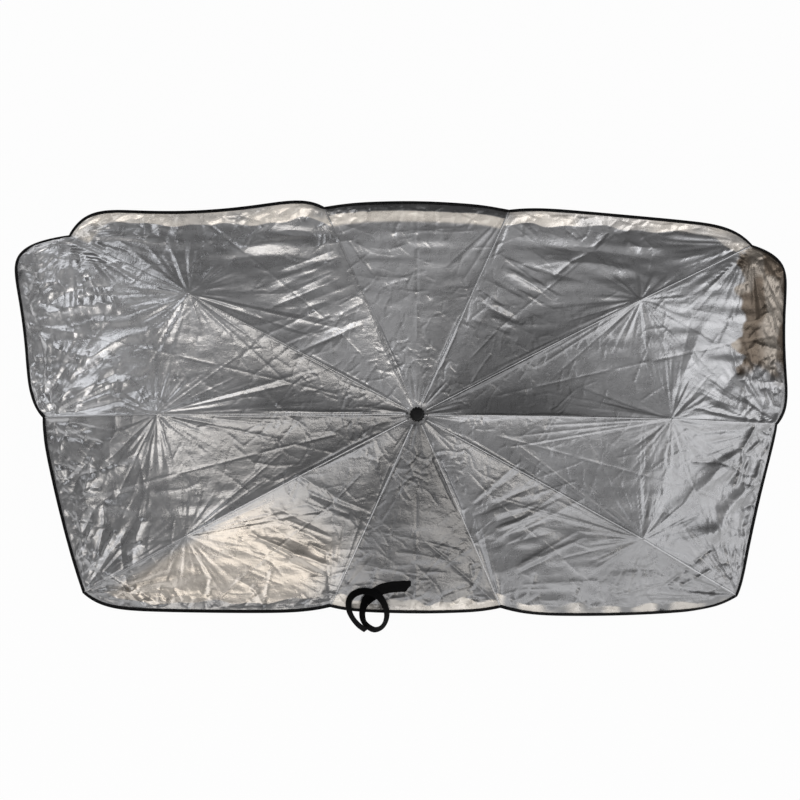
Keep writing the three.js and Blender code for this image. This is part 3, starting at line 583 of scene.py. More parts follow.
hub_rays()
ring_crumples()
arm_folds()
arm_ripples()
swells()
corner_folds()
gore_folds()
hem_crumples()
relief += soft_waves() + pleats()


def relief_at(points):
    """Reads the drawn height under points, between the four nearest grid values."""
    i = np.clip((points[..., 0] + GRID_X) / GRID_STEP, 0, len(grid_x) - 1.001)
    j = np.clip((points[..., 1] + GRID_Y) / GRID_STEP, 0, len(grid_y) - 1.001)
    i0, j0 = i.astype(int), j.astype(int)
    return between(relief, i0, i0 + 1, j0, j0 + 1, i - i0, j - j0)


# The cloth's lattice in each gore
ROWS = np.concatenate([
    np.linspace(span, span + 1, steps, endpoint=False) for span, steps in enumerate(ROW_STEPS)
] + [[LAST_ROW]])
ROW_STARTS = np.concatenate([[0], np.cumsum(ROW_STEPS)])
ACROSS = np.linspace(0, 1, COLUMNS + 1)


def lattice_normals(points):
    """Normals of a lattice of points, upwards, from the differences between neighbours."""
    down = np.gradient(points, axis=0)
    over = np.gradient(points, axis=1)
    return unit(np.cross(down, over))


def share_edges(lattices):
    """Gives neighbouring gores the same directions along the arm between them."""
    for gore in ARMS:
        beyond = next_arm(gore)
        shared = unit(lattices[gore][:, -1] + lattices[beyond][:, 0])
        lattices[gore][:, -1] = shared
        lattices[beyond][:, 0] = shared


DEEPEST_ON_RIB = 0.35
DEEPEST_BETWEEN = 5
HIGHEST = 9
CALM_BESIDE_ARM = 14
CALM_BESIDE_HEM = (3, 14)
CALM_BESIDE_CAP = (16, 22)
CALM_SHARE = 0.05


def crease_height(points, depth):
    """The drawn height, held back where the cloth lies on a rib, under the cap or in the binding."""
    x, y = points[..., 0], points[..., 1]
    deepest = -DEEPEST_ON_RIB - DEEPEST_BETWEEN * smooth_step(0, CALM_BESIDE_ARM, arm_distance(x, y))
    height = np.clip(relief_at(points), deepest, HIGHEST)
    calm = CALM_SHARE + (1 - CALM_SHARE) * smooth_step(*CALM_BESIDE_HEM, depth)
    return height * calm * smooth_step(*CALM_BESIDE_CAP, np.hypot(x, y))


def fold_line(gore, across):
    """How far inside the hem the fold runs; it wanders from place to place."""
    return HEM_FOLDS[gore][0] + 5 * np.sin(across * 17 + gore) + 3 * np.sin(across * 41)


def folded_hem(gore, points, across):
    """Turns the outermost cloth up or down from a crisp fold."""
    if gore not in HEM_FOLDS:
        return points
    rise = HEM_FOLDS[gore][1]
    share = np.clip(1 - HEM_DEPTHS[gore] / fold_line(gore, across), 0, 1)
    points[..., 2] += rise * share * slack(across)
    return points


def crease_normals(points, base, depth):
    """Tilts the smooth normals by the drawn height's slope, so narrow creases shade crisply."""
    slopes = []
    for step in np.eye(3)[:2] * GRID_STEP:
        rise = crease_height(points + step, depth) - crease_height(points - step, depth)
        slopes.append(rise / (2 * GRID_STEP))
    return unit(base - np.stack([*slopes, np.zeros_like(depth)], axis=-1))


row_marks, across_marks = np.meshgrid(ROWS, ACROSS, indexing="ij")
SMOOTH = {gore: gore_surface(gore, row_marks, across_marks) for gore in ARMS}
HEM_DEPTHS = {gore: np.linalg.norm(points - points[-1:], axis=-1) for gore, points in SMOOTH.items()}
SMOOTH = {gore: folded_hem(gore, points, across_marks) for gore, points in SMOOTH.items()}
BASE_NORMALS = {gore: lattice_normals(points) for gore, points in SMOOTH.items()}
share_edges(BASE_NORMALS)
HEIGHTS = {gore: crease_height(points, HEM_DEPTHS[gore]) for gore, points in SMOOTH.items()}
CLOTHS = {gore: SMOOTH[gore] + BASE_NORMALS[gore] * HEIGHTS[gore][..., None] for gore in SMOOTH}
NORMALS = {gore: crease_normals(SMOOTH[gore], BASE_NORMALS[gore], HEM_DEPTHS[gore]) for gore in SMOOTH}
share_edges(NORMALS)


# The coated cloth's own silver, then the colours of painted reflections: cream, brown and the pale yellowish
# colour painted on the flaps
SILVER = np.array([0.445, 0.445, 0.452])
CREAM_PAINTED_REFLECTION = np.array([0.66, 0.60, 0.53])
BROWN_PAINTED_REFLECTION = np.array([0.20, 0.155, 0.115])
FLAP_PAINTED_REFLECTION = np.array([1.0, 0.93, 0.84])

METALLIC = 0.85

# Each gore's painted light and shade inside and outside its knees, standing in for how bright the light makes
# it
GORE_PAINTED_SHADING = {
    1: (0.66, 1.0),
    2: (1.15, 1.35),
    3: (1.3, 1.2),
    4: (0.72, 1.4),
    5: (0.56, 1.0),
    6: (0.66, 0.85),
    7: (0.44, 0.5),
    8: (0.70, 0.6),
    9: (0.82, 0.75),
    10: (0.41, 0.92),
}


def blend(colour, towards, share):
    return colour + (towards - colour) * share[..., None]


def cloth_tone(gore, points):
    """The silver's tone with painted light: painted shading that makes each gore lighter or darker, painted
    pale reflections on the slack flaps, and painted brown and cream reflections on gores 10 and 6.
    """
    row, across = row_marks, across_marks
    x, y = points[..., 0], points[..., 1]
    inner, outer = GORE_PAINTED_SHADING[gore]
    tone = inner + (outer - inner) * smooth_step(2.4, 5.2, row)
    tone = tone * (1 + 0.10 * value_noise(x, y, 70, 50, 8))
    colour = SILVER * tone[..., None]
    depth = HEM_DEPTHS[gore]
    flap = np.zeros_like(row)
    if gore in HEM_FOLDS:
        flap = smooth_step(-1, 2, fold_line(gore, across) - depth)
    patchy = np.clip(0.75 + 0.6 * value_noise(x, y, 38, 18, 16), 0.25, 1)
    painted_reflection = np.zeros_like(row)
    # Painted pale reflection in patches on the turned flaps of the two upper gores.
    if gore in (1, 3):
        painted_reflection = flap * patchy
        colour = blend(colour, FLAP_PAINTED_REFLECTION, 0.9 * painted_reflection)
    # Gore 2: a band of painted pale reflection 17 to 44 mm inside the hem, and painted shade that darkens the
    # outermost 17 mm.
    if gore == 2:
        painted_reflection = 1.1 * smooth_step(17, 21, depth) * (1 - smooth_step(36, 44, depth))
        colour = blend(colour, FLAP_PAINTED_REFLECTION, np.minimum(1, painted_reflection))
        colour = blend(colour, SILVER * 0.5, 1 - smooth_step(17, 21, depth))
    # Painted pale reflection in patches on the flaps of the two lower gores, fading across gore 8.
    if gore == 8:
        patchy = np.clip(0.35 + 1.3 * value_noise(x, y, 24, 30, 17), 0, 1) * (1 - across * 0.4)
    if gore in (7, 8):
        painted_reflection = 0.9 * flap * patchy
        colour = blend(colour, FLAP_PAINTED_REFLECTION, 0.8 * painted_reflection)
    # Painted brown reflection over the right flap, with pale patches of painted cream reflection and
    # highlight in it.
    if gore == 10:
        ragged = 20 * value_noise(x, y, 34, 26, 9) + 9 * value_noise(x, y, 12, 10, 14)
        side = smooth_step(612, 620, x + ragged) * smooth_step(85, 120, y + ragged)
        colour = blend(colour, BROWN_PAINTED_REFLECTION * 0.6, 0.97 * side)
        pale = smooth_step(0.0, 0.35, value_noise(x, y, 26, 40, 15))
        colour = blend(colour, CREAM_PAINTED_REFLECTION * 0.7, 0.5 * side * pale)
    # Painted cream reflection across gore 6 outside its knee, and painted shade that darkens its turned flap.
    if gore == 6:
        lit = smooth_step(3.2, 4.6, row) * smooth_step(0.02, 0.1, across)
        lit = lit * (1 - smooth_step(0.75, 1.0, across))
        colour = blend(colour, CREAM_PAINTED_REFLECTION, 0.8 * lit)
        colour = blend(colour, SILVER * 0.8, flap)
    # Less metallic where the pale reflection is painted, so the painted colour shows bright under the dark
    # sky.
    metallic = METALLIC - 0.5 * painted_reflection
    return np.concatenate([np.clip(colour, 0, 1), metallic[..., None]], axis=-1)


TONES = {gore: cloth_tone(gore, points) for gore, points in SMOOTH.items()}


# Materials
NOISE_SPAN = (0.3, 0.7)
WHITE = (1, 1, 1, 1)


class Paint:
    """Adds nodes to a material or the world; a socket takes a value or the output that feeds it."""

    def __init__(self, owner):
        owner.use_nodes = True
        self.owner = owner
        self.nodes, self.links = owner.node_tree.nodes, owner.node_tree.links

    def feed(self, socket, value):
        if isinstance(value, bpy.types.NodeSocket):
            self.links.new(value, socket)
        else:
            socket.default_value = value

    def node(self, kind, inputs=None, **settings):
        made = self.nodes.new(f"ShaderNode{kind}")
        for name, value in settings.items():
            setattr(made, name, value)
        for name, value in (inputs or {}).items():
            self.feed(made.inputs[name], value)
        return made

    def surface(self, **inputs):
        for name, value in inputs.items():
            self.feed(self.nodes["Principled BSDF"].inputs[name.replace("_", " ")], value)
        return self.owner

    def texture(self, kind, scale, **inputs):
        """A texture in object coordinates, unless it is given its own Vector."""
        if "Vector" not in inputs:
            inputs["Vector"] = self.node("TexCoord").outputs["Object"]
        return self.node(f"Tex{kind}", {"Scale": scale, **inputs})

    def noise(self, scale, kind="FBM", **inputs):
        made = self.texture("Noise", scale, **inputs)
        made.noise_type = kind
        return made.outputs["Fac"]

    def ranged(self, source, low, high, to_low, to_high):
        spans = {"From Min": low, "From Max": high, "To Min": to_low, "To Max": to_high}
        return self.node("MapRange", {"Value": source, **spans}).outputs["Result"]

    def bump(self, height, strength, distance, under=None):
        made = self.node("Bump", {"Height": height, "Strength": strength, "Distance": distance})
        if under is not None:
            self.feed(made.inputs["Normal"], under)
        return made.outputs["Normal"]

    def scaled(self, colour, factor):
        inputs = {"Factor": 1, "A": colour, "B": factor}
        return self.node("Mix", inputs, data_type="RGBA", blend_type="MULTIPLY").outputs["Result"]

    def varied(self, noise, colour, dark, light):
        """A colour that wanders with a noise between a darker and a lighter share of itself."""
        ramp = self.node("ValToRGB", {"Fac": noise})
        for stop, share in zip(ramp.color_ramp.elements, (dark, light)):
            stop.color = (*[min(1, value * share) for value in colour], 1)
        return ramp.outputs["Color"]


def silver_cloth():
    """Aluminium-coated cloth: a soft metallic face with fine crinkles over the modelled folds."""
    paint = Paint(bpy.data.materials.new("silver_coated_cloth"))
    # The tone attribute holds the silver's colour with the painted shading and painted reflections from
    # cloth_tone.
    tone = paint.node("VertexColor", layer_name="tone").outputs
    mottle = paint.noise(38, Detail=5.0, Roughness=0.6)
    ridges = paint.noise(30, "RIDGED_MULTIFRACTAL", Detail=3.5, Roughness=0.55, Distortion=1.1)
    under = paint.bump(ridges, 0.8, 0.0005)
    place = paint.node("TexCoord").outputs["Object"]
    for stretch in [(0.35, 1.0, 1.0), (1.0, 0.4, 1.0)]:
        mapped = paint.node("Mapping", {"Vector": place, "Scale": stretch}).outputs["Vector"]
        crinkle = paint.noise(170, Vector=mapped, Detail=3.0, Roughness=0.6, Distortion=0.9)
        under = paint.bump(crinkle, 0.5, 0.0008, under)
    weave = paint.noise(900, Detail=2.0)
    return paint.surface(
        Base_Color=paint.scaled(tone["Color"], paint.ranged(mottle, *NOISE_SPAN, 0.88, 1.08)),
        Metallic=tone["Alpha"],
        Roughness=paint.ranged(mottle, *NOISE_SPAN, 0.24, 0.34),
        Normal=paint.bump(weave, 0.12, 0.0002, under),
    )


def black_cloth(name, colour, scale, rough, sheen):
    """Black woven cloth for the lining, the binding, the threads and the strap."""
    paint = Paint(bpy.data.materials.new(name))
    grain = paint.noise(scale, Detail=4.0, Roughness=0.7)
    weave = paint.texture("Voronoi", scale * 2.5, Randomness=0.35).outputs["Distance"]
    return paint.surface(
        Base_Color=paint.varied(grain, colour, 0.6, 1.5),
        Roughness=paint.ranged(grain, *NOISE_SPAN, rough - 0.08, rough + 0.08),
        Sheen_Weight=sheen,
        Specular_IOR_Level=0.08,
        Normal=paint.bump(grain, 0.3, 0.0004, paint.bump(weave, 0.5, 0.0003)),
    )


def moulded_plastic(name, colour, rough):
    """Moulded plastic with a fine spark-eroded grain."""
    paint = Paint(bpy.data.materials.new(name))
    grain = paint.noise(1400, Detail=3.0)
    wear = paint.noise(60, Detail=5.0, Roughness=0.7)
    return paint.surface(
        Base_Color=paint.varied(wear, colour, 0.8, 1.3),
        Roughness=paint.ranged(wear, *NOISE_SPAN, rough - 0.07, rough + 0.1),
        Specular_IOR_Level=0.2,
        Normal=paint.bump(grain, 0.25, 0.0002),
    )


def metal(name, colour, rough, metallic, streaks):
    """Plated or lacquered steel, or drawn glass fibre, with faint marks all over."""
    paint = Paint(bpy.data.materials.new(name))
    marks = paint.noise(streaks, Detail=6.0, Roughness=0.7, Distortion=0.4)
    return paint.surface(
        Base_Color=paint.varied(marks, colour, 0.8, 1.15),
        Metallic=metallic,
        Roughness=paint.ranged(marks, *NOISE_SPAN, rough - 0.06, rough + 0.1),
        Normal=paint.bump(marks, 0.15, 0.0002),
    )


SILVER_CLOTH = silver_cloth()
LINING = black_cloth("black_lining", (0.022, 0.022, 0.024), 700, 0.62, 0.1)
TAPE = black_cloth("binding_tape", (0.004, 0.004, 0.0043), 600, 0.75, 0.0)
THREAD = black_cloth("sewing_thread", (0.03, 0.03, 0.032), 1500, 0.5, 0.3)
SILVER_THREAD = black_cloth("silver_thread", (0.16, 0.16, 0.165), 1500, 0.5, 0.2)
WEBBING = black_cloth("strap_webbing", (0.003, 0.003, 0.0032), 900, 0.85, 0.0)
CROWN_PLASTIC = moulded_plastic("crown_plastic", (0.005, 0.005, 0.0055), 0.5)
HANDLE_PLASTIC = moulded_plastic("handle_plastic", (0.02, 0.02, 0.021), 0.5)
RIB_STEEL = metal("rib_steel", (0.045, 0.045, 0.05), 0.38, 0.5, 130)
GLASS_FIBRE = metal("rib_glass_fibre", (0.62, 0.63, 0.6), 0.35, 0.0, 180)
SHAFT_STEEL = metal("shaft_steel", (0.60, 0.61, 0.62), 0.26, 0.95, 90)
BUTTON_PLASTIC = moulded_plastic("button_plastic", (0.05, 0.05, 0.052), 0.38)


# Meshes
def added(name, data):
    """Puts a mesh, a camera or a lamp in the scene."""
    made = bpy.data.objects.new(name, data)
    bpy.context.scene.collection.objects.link(made)
    return made


def made_mesh(name, vertices, faces, materials, indices=None, smooth=True):
    mesh = bpy.data.meshes.new(name)
    mesh.from_pydata([tuple(vertex) for vertex in vertices], [], faces)
    for entry in materials:
        mesh.materials.append(entry)
    if indices is not None:
        mesh.polygons.foreach_set("material_index", np.asarray(indices, np.int32))
    mesh.polygons.foreach_set("use_smooth", np.full(len(mesh.polygons), smooth))
    mesh.update()
    return added(name, mesh)


def tint(made, tones):
    """Gives a piece its tones, vertex by vertex."""
    colours = made.data.color_attributes.new("tone", "FLOAT_COLOR", "POINT")
    colours.data.foreach_set("color", tones.astype(np.float32).ravel())


# Each side of a cell: the neighbour across it, and its two corners in order round the cell
CELL_SIDES = [
    ((-1, 0), (0, 0), (0, 1)),
    ((0, 1), (0, 1), (1, 1)),
    ((1, 0), (1, 1), (1, 0)),
    ((0, -1), (1, 0), (0, 0)),
]


def cell_faces(index, cells):
    """The chosen quads of a lattice of vertex indices."""
    return np.stack([index[:-1, :-1], index[1:, :-1], index[1:, 1:], index[:-1, 1:]], axis=-1)[cells]


def wall_faces(cells, fine, coarse):
    """Faces that join the outline of the skin's cells to the lining's, which has every second point of it."""
    rows, columns = cells.shape
    padded = np.pad(cells, 1)
    walls = []
    for (down, over), start, end in CELL_SIDES:
        beyond = padded[1 + down:1 + down + rows, 1 + over:1 + over + columns]
        row, column = np.nonzero(cells & ~beyond)
        i, j = row + start[0], column + start[1]
        m, n = row + end[0], column + end[1]
        walls.append(np.stack(
            [fine[2 * i, 2 * j], fine[i + m, j + n], fine[2 * m, 2 * n], coarse[m, n], coarse[i, j]], axis=-1,
        ))
    return np.concatenate(walls)


def around(arm, lattices):
    """Puts together the half gores on both sides of an arm, from mid-gore to mid-gore."""
    before = (arm - 2) % ARM_COUNT + 1
    half = COLUMNS // 2
    return np.concatenate([lattices[before][:, half:-1], lattices[arm][:, :half + 1]], axis=1)


def lining_points(arm):
    """Every second point of an arm's cloth, lowered under the deepest crease nearby."""
    margin = LINING_WINDOW // 2
    padded = np.pad(around(arm, HEIGHTS), margin, mode="edge")
    windows = np.lib.stride_tricks.sliding_window_view(padded, (LINING_WINDOW, LINING_WINDOW))
    lowest = windows.min(axis=(2, 3)) - LINING_DROP
    points = around(arm, SMOOTH) + around(arm, BASE_NORMALS) * lowest[..., None]
    return points[::2, ::2]


def rib_sections(arm):
    """Each rib section of an arm, with the rows of cloth where it starts and ends."""
    if arm in OUTER_LENGTHS:
        return [("top", 0, KNEE_ROW), ("middle", KNEE_ROW, TIP_KNEE_ROW), ("outer", TIP_KNEE_ROW, LAST_ROW)]
    return [("top", 0, KNEE_ROW), ("middle", KNEE_ROW, LAST_ROW)]


def section_cells(arm):
    """Which section of an arm carries each cell of its cloth, by how far out along the arm it lies."""
    angle = ARM_ANGLES[arm - 1]
    points = around(arm, SMOOTH)
    reach = points[..., 0] * math.cos(angle) + points[..., 1] * math.sin(angle)
    knees = [last_row for _, _, last_row in rib_sections(arm)[:-1]]
    cuts = [min(reach[ROW_STARTS[row], COLUMNS // 2], reach[-1].min() - HEM_MARGIN) for row in knees]
    corners = reach[::2, ::2]
    return np.digitize((corners[:-1, :-1] + corners[1:, 1:]) / 2, cuts)


def cloth_strip(arm, part, cells):
    """One section of an arm's cloth: a silver skin over a black lining, closed at its edges."""
    points, normals, tones = (around(arm, lattices) for lattices in (CLOTHS, NORMALS, TONES))
    low = lining_points(arm)
    fine = np.arange(points[..., 0].size).reshape(points.shape[:2])
    coarse = np.arange(low[..., 0].size).reshape(low.shape[:2]) + fine.size
    skin = cell_faces(fine, cells.repeat(2, axis=0).repeat(2, axis=1))
    lining = cell_faces(coarse, cells)[:, ::-1]
    walls = wall_faces(cells, fine, coarse)
    corners = np.concatenate([skin.ravel(), lining.ravel(), walls.ravel()])
    used, order = np.unique(corners, return_inverse=True)
    in_quads = skin.size + lining.size
    faces = order[:in_quads].reshape(-1, 4).tolist() + order[in_quads:].reshape(-1, 5).tolist()
    indices = np.concatenate([np.zeros(len(skin)), np.ones(len(lining)), np.zeros(len(walls))])
    upper = (points + normals * SKIN_LIFT).reshape(-1, 3)
    vertices = to_row(np.concatenate([upper, low.reshape(-1, 3)])[used])
    made = made_mesh(f"canopy_{part}_{arm}", vertices, faces, [SILVER_CLOTH, LINING], indices)
    tint(made, np.concatenate([tones.reshape(-1, 4), tones[::2, ::2].reshape(-1, 4)])[used])
    shading = np.concatenate([normals.reshape(-1, 3), -normals[::2, ::2].reshape(-1, 3)])[used]
    made.data.normals_split_custom_set_from_vertices(turned(shading).tolist())
    fold_with(made, arm, part)
    return made


def fold_with(made, arm, part):
    """Lets a piece of cloth ride on a section of its arm, with a mesh of its own."""
    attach(made, f"{part}_arm_{arm}")
    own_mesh(made)


def canopy():
    for arm in ARMS:
        carriers = section_cells(arm)
        for number, (part, _, _) in enumerate(rib_sections(arm)):
            strip = cloth_strip(arm, part, carriers == number)
        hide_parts(f"gore_{arm}")


# The binding round the hem
TAPE_OUT = 1.7
TAPE_IN = 4.6
TAPE_HALF = 2.0
TAPE_SIDES = 12
STITCH_PITCH = 4.2
STITCH_LENGTH = 2.7
STITCH_RADIUS = 0.28
STITCH_IN = 3.6
STITCH_SIDES = 5

# Where the rings of a stitch lie along it, and how thick it is there
STITCH_RINGS = np.array([-0.5, -0.3, 0, 0.3, 0.5])
STITCH_TAPER = np.array([0.5, 0.9, 1, 0.9, 0.5])


def hem_frame(arm):
    """The hem's points with the directions out of the cloth, up from it and along it."""
    points = around(arm, CLOTHS)
    normals = around(arm, BASE_NORMALS)
    hem = points[-1]
    along = unit(np.gradient(hem, axis=0))
    up = unit(normals[-2] - along * (normals[-2] * along).sum(axis=-1, keepdims=True))
    out = unit(np.cross(along, up))
    lean = points[-1] - points[-4]
    out = out * np.sign((out * lean).sum(axis=-1, keepdims=True))
    return hem, out, up, along


def tape_section():
    """The folded tape's section: its two leaves with a round edge outside and thin edges inside."""
    turn = np.linspace(0, 2 * math.pi, TAPE_SIDES, endpoint=False)
    middle = (TAPE_OUT - TAPE_IN) / 2
    half = (TAPE_OUT + TAPE_IN) / 2
    x = middle + half * np.sign(np.cos(turn)) * np.abs(np.cos(turn)) ** 0.7
    y = TAPE_HALF * np.sign(np.sin(turn)) * np.abs(np.sin(turn)) ** 0.55
    return x, y


def tube(rings, offset=0):
    """Vertices and faces of a closed tube through rings of points."""
    index = np.arange(rings.shape[0] * rings.shape[1]).reshape(rings.shape[:2]) + offset
    after = np.roll(index, -1, axis=1)
    sides = np.stack([index[:-1], after[:-1], after[1:], index[1:]], axis=-1).reshape(-1, 4)
    return rings.reshape(-1, 3), sides.tolist() + [index[0, ::-1].tolist(), index[-1].tolist()]


def swept(path, out, up, x, y):
    """Vertices and faces of a section swept along a path, closed at both ends."""
    return tube(path[:, None] + out[:, None] * x[None, :, None] + up[:, None] * y[None, :, None])


def resampled(values, length, pitch):
    """Reads values along a path at equal steps."""
    count = max(2, int(length[-1] / pitch))
    marks = (np.arange(count) + 0.5) * length[-1] / count
    return np.stack([np.interp(marks, length, values[:, axis]) for axis in range(3)], axis=-1)


def stitches(path, out, up, along, inset, rise):
    """A row of short thread loops that lie on a tape."""
    length = distances(path)
    places = [resampled(values, length, STITCH_PITCH) for values in (path, out, up, along)]
    turn = np.linspace(0, 2 * math.pi, STITCH_SIDES, endpoint=False)[None, :, None]
    lift = STITCH_RADIUS * (1 - (2 * STITCH_RINGS) ** 2)
    radii = (STITCH_RADIUS * STITCH_TAPER)[:, None, None]
    vertices, faces = [], []
    for centre, outward, above, forward in zip(*places):
        middle = centre - outward * inset + above * rise
        line = middle + forward * (STITCH_RINGS * STITCH_LENGTH)[:, None] + above * lift[:, None]
        rings = line[:, None] + radii * (outward * np.cos(turn) + above * np.sin(turn))
        points, quads = tube(rings, len(vertices) * len(STITCH_RINGS) * STITCH_SIDES)
        vertices.append(points)
        faces += quads
    return np.concatenate(vertices), faces


def joined(parts):
    """Joins several vertex and face lists, each with a material index."""
    vertices, faces, indices = [], [], []
    offset = 0
    for points, quads, index in parts:
        vertices.append(points)
        faces += [[corner + offset for corner in face] for face in quads]
        indices += [index] * len(quads)
        offset += len(points)
    return np.concatenate(vertices), faces, indices


def binding(arm):
    """The black tape that is folded over the hem and sewn through."""
    path, out, up, along = hem_frame(arm)
    x, y = tape_section()
    parts = [(*swept(path, out, up, x, y), 0)]
    for face in (up, -up):
        parts.append((*stitches(path, out, face, along, STITCH_IN, TAPE_HALF * 0.93), 1))
    vertices, faces, indices = joined(parts)
    made = made_mesh(f"hem_tape_{arm}", to_row(vertices), faces, [TAPE, THREAD], indices)
    fold_with(made, arm, rib_sections(arm)[-1][0])
    return made


# The seams along the arms
SEAM_WIDTH = 2.6
SEAM_HEIGHT = 0.75
SEAM_START = 17
SEAM_STITCH_IN = 2.4
SEAM_POINTS = 6
SEAM_SUNK = -0.2


def seam(arm, part, first_row, last_row):
    """The felled seam between two gores: a low ridge of doubled cloth with a row of stitches."""
    rows = slice(ROW_STARTS[first_row], ROW_STARTS[last_row] + 1)
    path = CLOTHS[arm][rows, 0]
    up = BASE_NORMALS[arm][rows, 0]
    away = np.hypot(path[:, 0], path[:, 1]) > SEAM_START
    path, up = path[away], up[away]
    along = unit(np.gradient(path, axis=0))
    out = unit(np.cross(along, up))
    turn = np.linspace(0, math.pi, SEAM_POINTS)
    x = np.concatenate([SEAM_WIDTH / 2 * np.cos(turn), [-SEAM_WIDTH / 2, SEAM_WIDTH / 2]])
    y = np.concatenate([SEAM_HEIGHT * np.sin(turn) + SKIN_LIFT, [SEAM_SUNK, SEAM_SUNK]])
    parts = [(*swept(path, out, up, x, y), 0)]
    parts.append((*stitches(path, out, up, along, SEAM_STITCH_IN, SKIN_LIFT + 0.1), 1))
    vertices, faces, indices = joined(parts)
    made = made_mesh(f"seam_{part}_{arm}", to_row(vertices), faces, [SILVER_CLOTH, SILVER_THREAD], indices)
    tint(made, np.tile([*(SILVER * 1.1), METALLIC], (len(vertices), 1)))
    fold_with(made, arm, part)


def seams():
    for arm in ARMS:
        for part, first_row, last_row in rib_sections(arm):
            seam(arm, part, first_row, last_row)


# The fastening strap
STRAP_ARM = 7
STRAP_X = -90
STRAP_WIDTH = 20
STRAP_THICK = 1.4
STRAP_STEPS = 14
STRAP_POINTS = 15
WOVEN_EDGE = 0.88
EDGE_SHARE = 0.55
NAP = 0.14
NAP_HALF = 0.42
STRAP_CUT = 11
HEM_TOP = 2.35
STRAP_ROUTE = [
    (81.5, 48.2, 0.9, 0), (63.3, 47.6, 0.9, 0), (47.7, 46.6, 0.9, 0), (32.1, 43.6, 1.1, 0),
    (21.2, 38.7, 1.5, 3), (11.4, 31.8, 4.2, 14), (2, 24, 9, 38), (-3.6, 16, 11.6, 54),
    (-6.3, 5.6, 12.6, 60), (-6.4, -5, 11.4, 60), (-3.2, -15.8, 8, 58), (5.3, -25.7, 6, 52),
    (16.3, -31.1, 5, 50), (27.7, -27.2, 6, 56), (35, -17.3, 8, 60), (37.8, -4.8, 10, 60),
    (36.7, 7.1, 11, 60), (32.5, 17.9, 12.5, 60), (25.5, 28.7, 14.5, 60), (15, 37.4, 16, 62),
    (1.5, 41.5, 16, 66), (-11.9, 40.3, 14.5, 66), (-23.2, 34.4, 12.5, 64), (-30.1, 24.7, 11.5, 62),
    (-31.4, 14.1, 12.4, 60), (-29.8, 3.5, 12, 60), (-25.5, -6.1, 10.6, 60), (-18.8, -15.8, 8.5, 58),
    (-9.8, -24.9, 7.5, 55), (1.2, -32, 6.5, 52),
]


def curve_points(points, steps):
    """Points of a smooth curve through a list of points of any number of coordinates."""
    points = np.asarray(points, float)
    padded = np.concatenate([2 * points[:1] - points[1:2], points, 2 * points[-1:] - points[-2:-1]])
    t = np.linspace(0, 1, steps, endpoint=False)[:, None]
    found = []
    for a, b, c, d in zip(padded[:-3], padded[1:-2], padded[2:-1], padded[3:]):
        bend = (2 * a - 5 * b + 4 * c - d) * t ** 2 + (3 * b - a - 3 * c + d) * t ** 3
        found.append(0.5 * (2 * b + (c - a) * t + bend))
    return np.concatenate(found + [points[-1:]])


def strap_place(points):
    """Takes points from the strap's own axes to the umbrella's, on the hem of the lower middle gore."""
    middle = gore_surface(STRAP_ARM, LAST_ROW, 0.5)
    behind = gore_surface(STRAP_ARM, LAST_ROW - 2, 0.5)
    tilt = math.atan2(behind[2] - middle[2], behind[1] - middle[1])
    turn = np.array([[1, 0, 0], [0, math.cos(tilt), -math.sin(tilt)], [0, math.sin(tilt), math.cos(tilt)]])
    return points @ turn.T + np.array([STRAP_X, middle[1], middle[2] + HEM_TOP])


def strap():
    """A strip of fuzzy webbing with a woven edge that lies over the hem in a loose coil."""
    route = curve_points(STRAP_ROUTE, STRAP_STEPS)
    path, twist = route[:, :3], np.radians(route[:, 3])
    along = unit(np.gradient(path, axis=0))
    side = unit(np.cross(np.array([0.0, 0.0, 1.0]), along))
    up = np.cross(along, side)
    width = side * np.cos(twist)[:, None] + up * np.sin(twist)[:, None]
    thick = unit(np.cross(along, width))
    over, back = np.linspace(-1, 1, STRAP_POINTS), np.linspace(1, -1, STRAP_POINTS)
    x = np.concatenate([over, back]) * STRAP_WIDTH / 2
    half = STRAP_THICK / 2 * np.where(np.abs(over) > WOVEN_EDGE, EDGE_SHARE, 1.0)
    y = np.concatenate([half, -half])
    vertices, faces = swept(path, width, thick, x, y)
    vertices = vertices.reshape(len(path), len(x), 3)
    fading = np.clip(1 - distances(path) / (2 * STRAP_CUT), 0, 1)
    slant = smooth_step(-0.1, 0.0, x / STRAP_WIDTH) * (x / STRAP_WIDTH + 0.1) / 0.6 * STRAP_CUT
    vertices = vertices + along[:, None] * (slant[None, :] * fading[:, None])[..., None]
    nap = random.normal(0, NAP, vertices.shape[:2]) * (np.abs(x) < NAP_HALF * STRAP_WIDTH)[None, :]
    vertices = vertices + thick[:, None] * nap[..., None]
    vertices = strap_place(vertices.reshape(-1, 3))
    made = made_mesh("fastening_strap", to_row(vertices), faces, [WEBBING])
    fold_with(made, STRAP_ARM, rib_sections(STRAP_ARM)[-1][0])
    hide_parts("strap")


# The CAD pieces keep their shapes and get their own finish
FINISHES = {
    "top_rib": RIB_STEEL,
    "middle_rib": RIB_STEEL,
    "outer_rib": GLASS_FIBRE,
    "stretcher": RIB_STEEL,
    "upper_tube": SHAFT_STEEL,
    "middle_tube": SHAFT_STEEL,
    "lower_tube": SHAFT_STEEL,
    "crown": CROWN_PLASTIC,
    "release_button": BUTTON_PLASTIC,
    "runner": HANDLE_PLASTIC,
    "handle": HANDLE_PLASTIC,
}


def dress_frame():
    for node, made in frame["nodes"].items():
        for start, finish in FINISHES.items():
            if node.startswith(start):
                made.data.materials.clear()
                made.data.materials.append(finish)


# The camera, the floor and the light
CAMERA_DISTANCE = 4000
CAMERA_TURN = (-5.87, 3.32, -0.22)
FOCAL_PIXELS = 2198.9
FRAME_PIXELS = 800
SENSOR = 36
AIM_PIXELS = (416.9, 414.9)


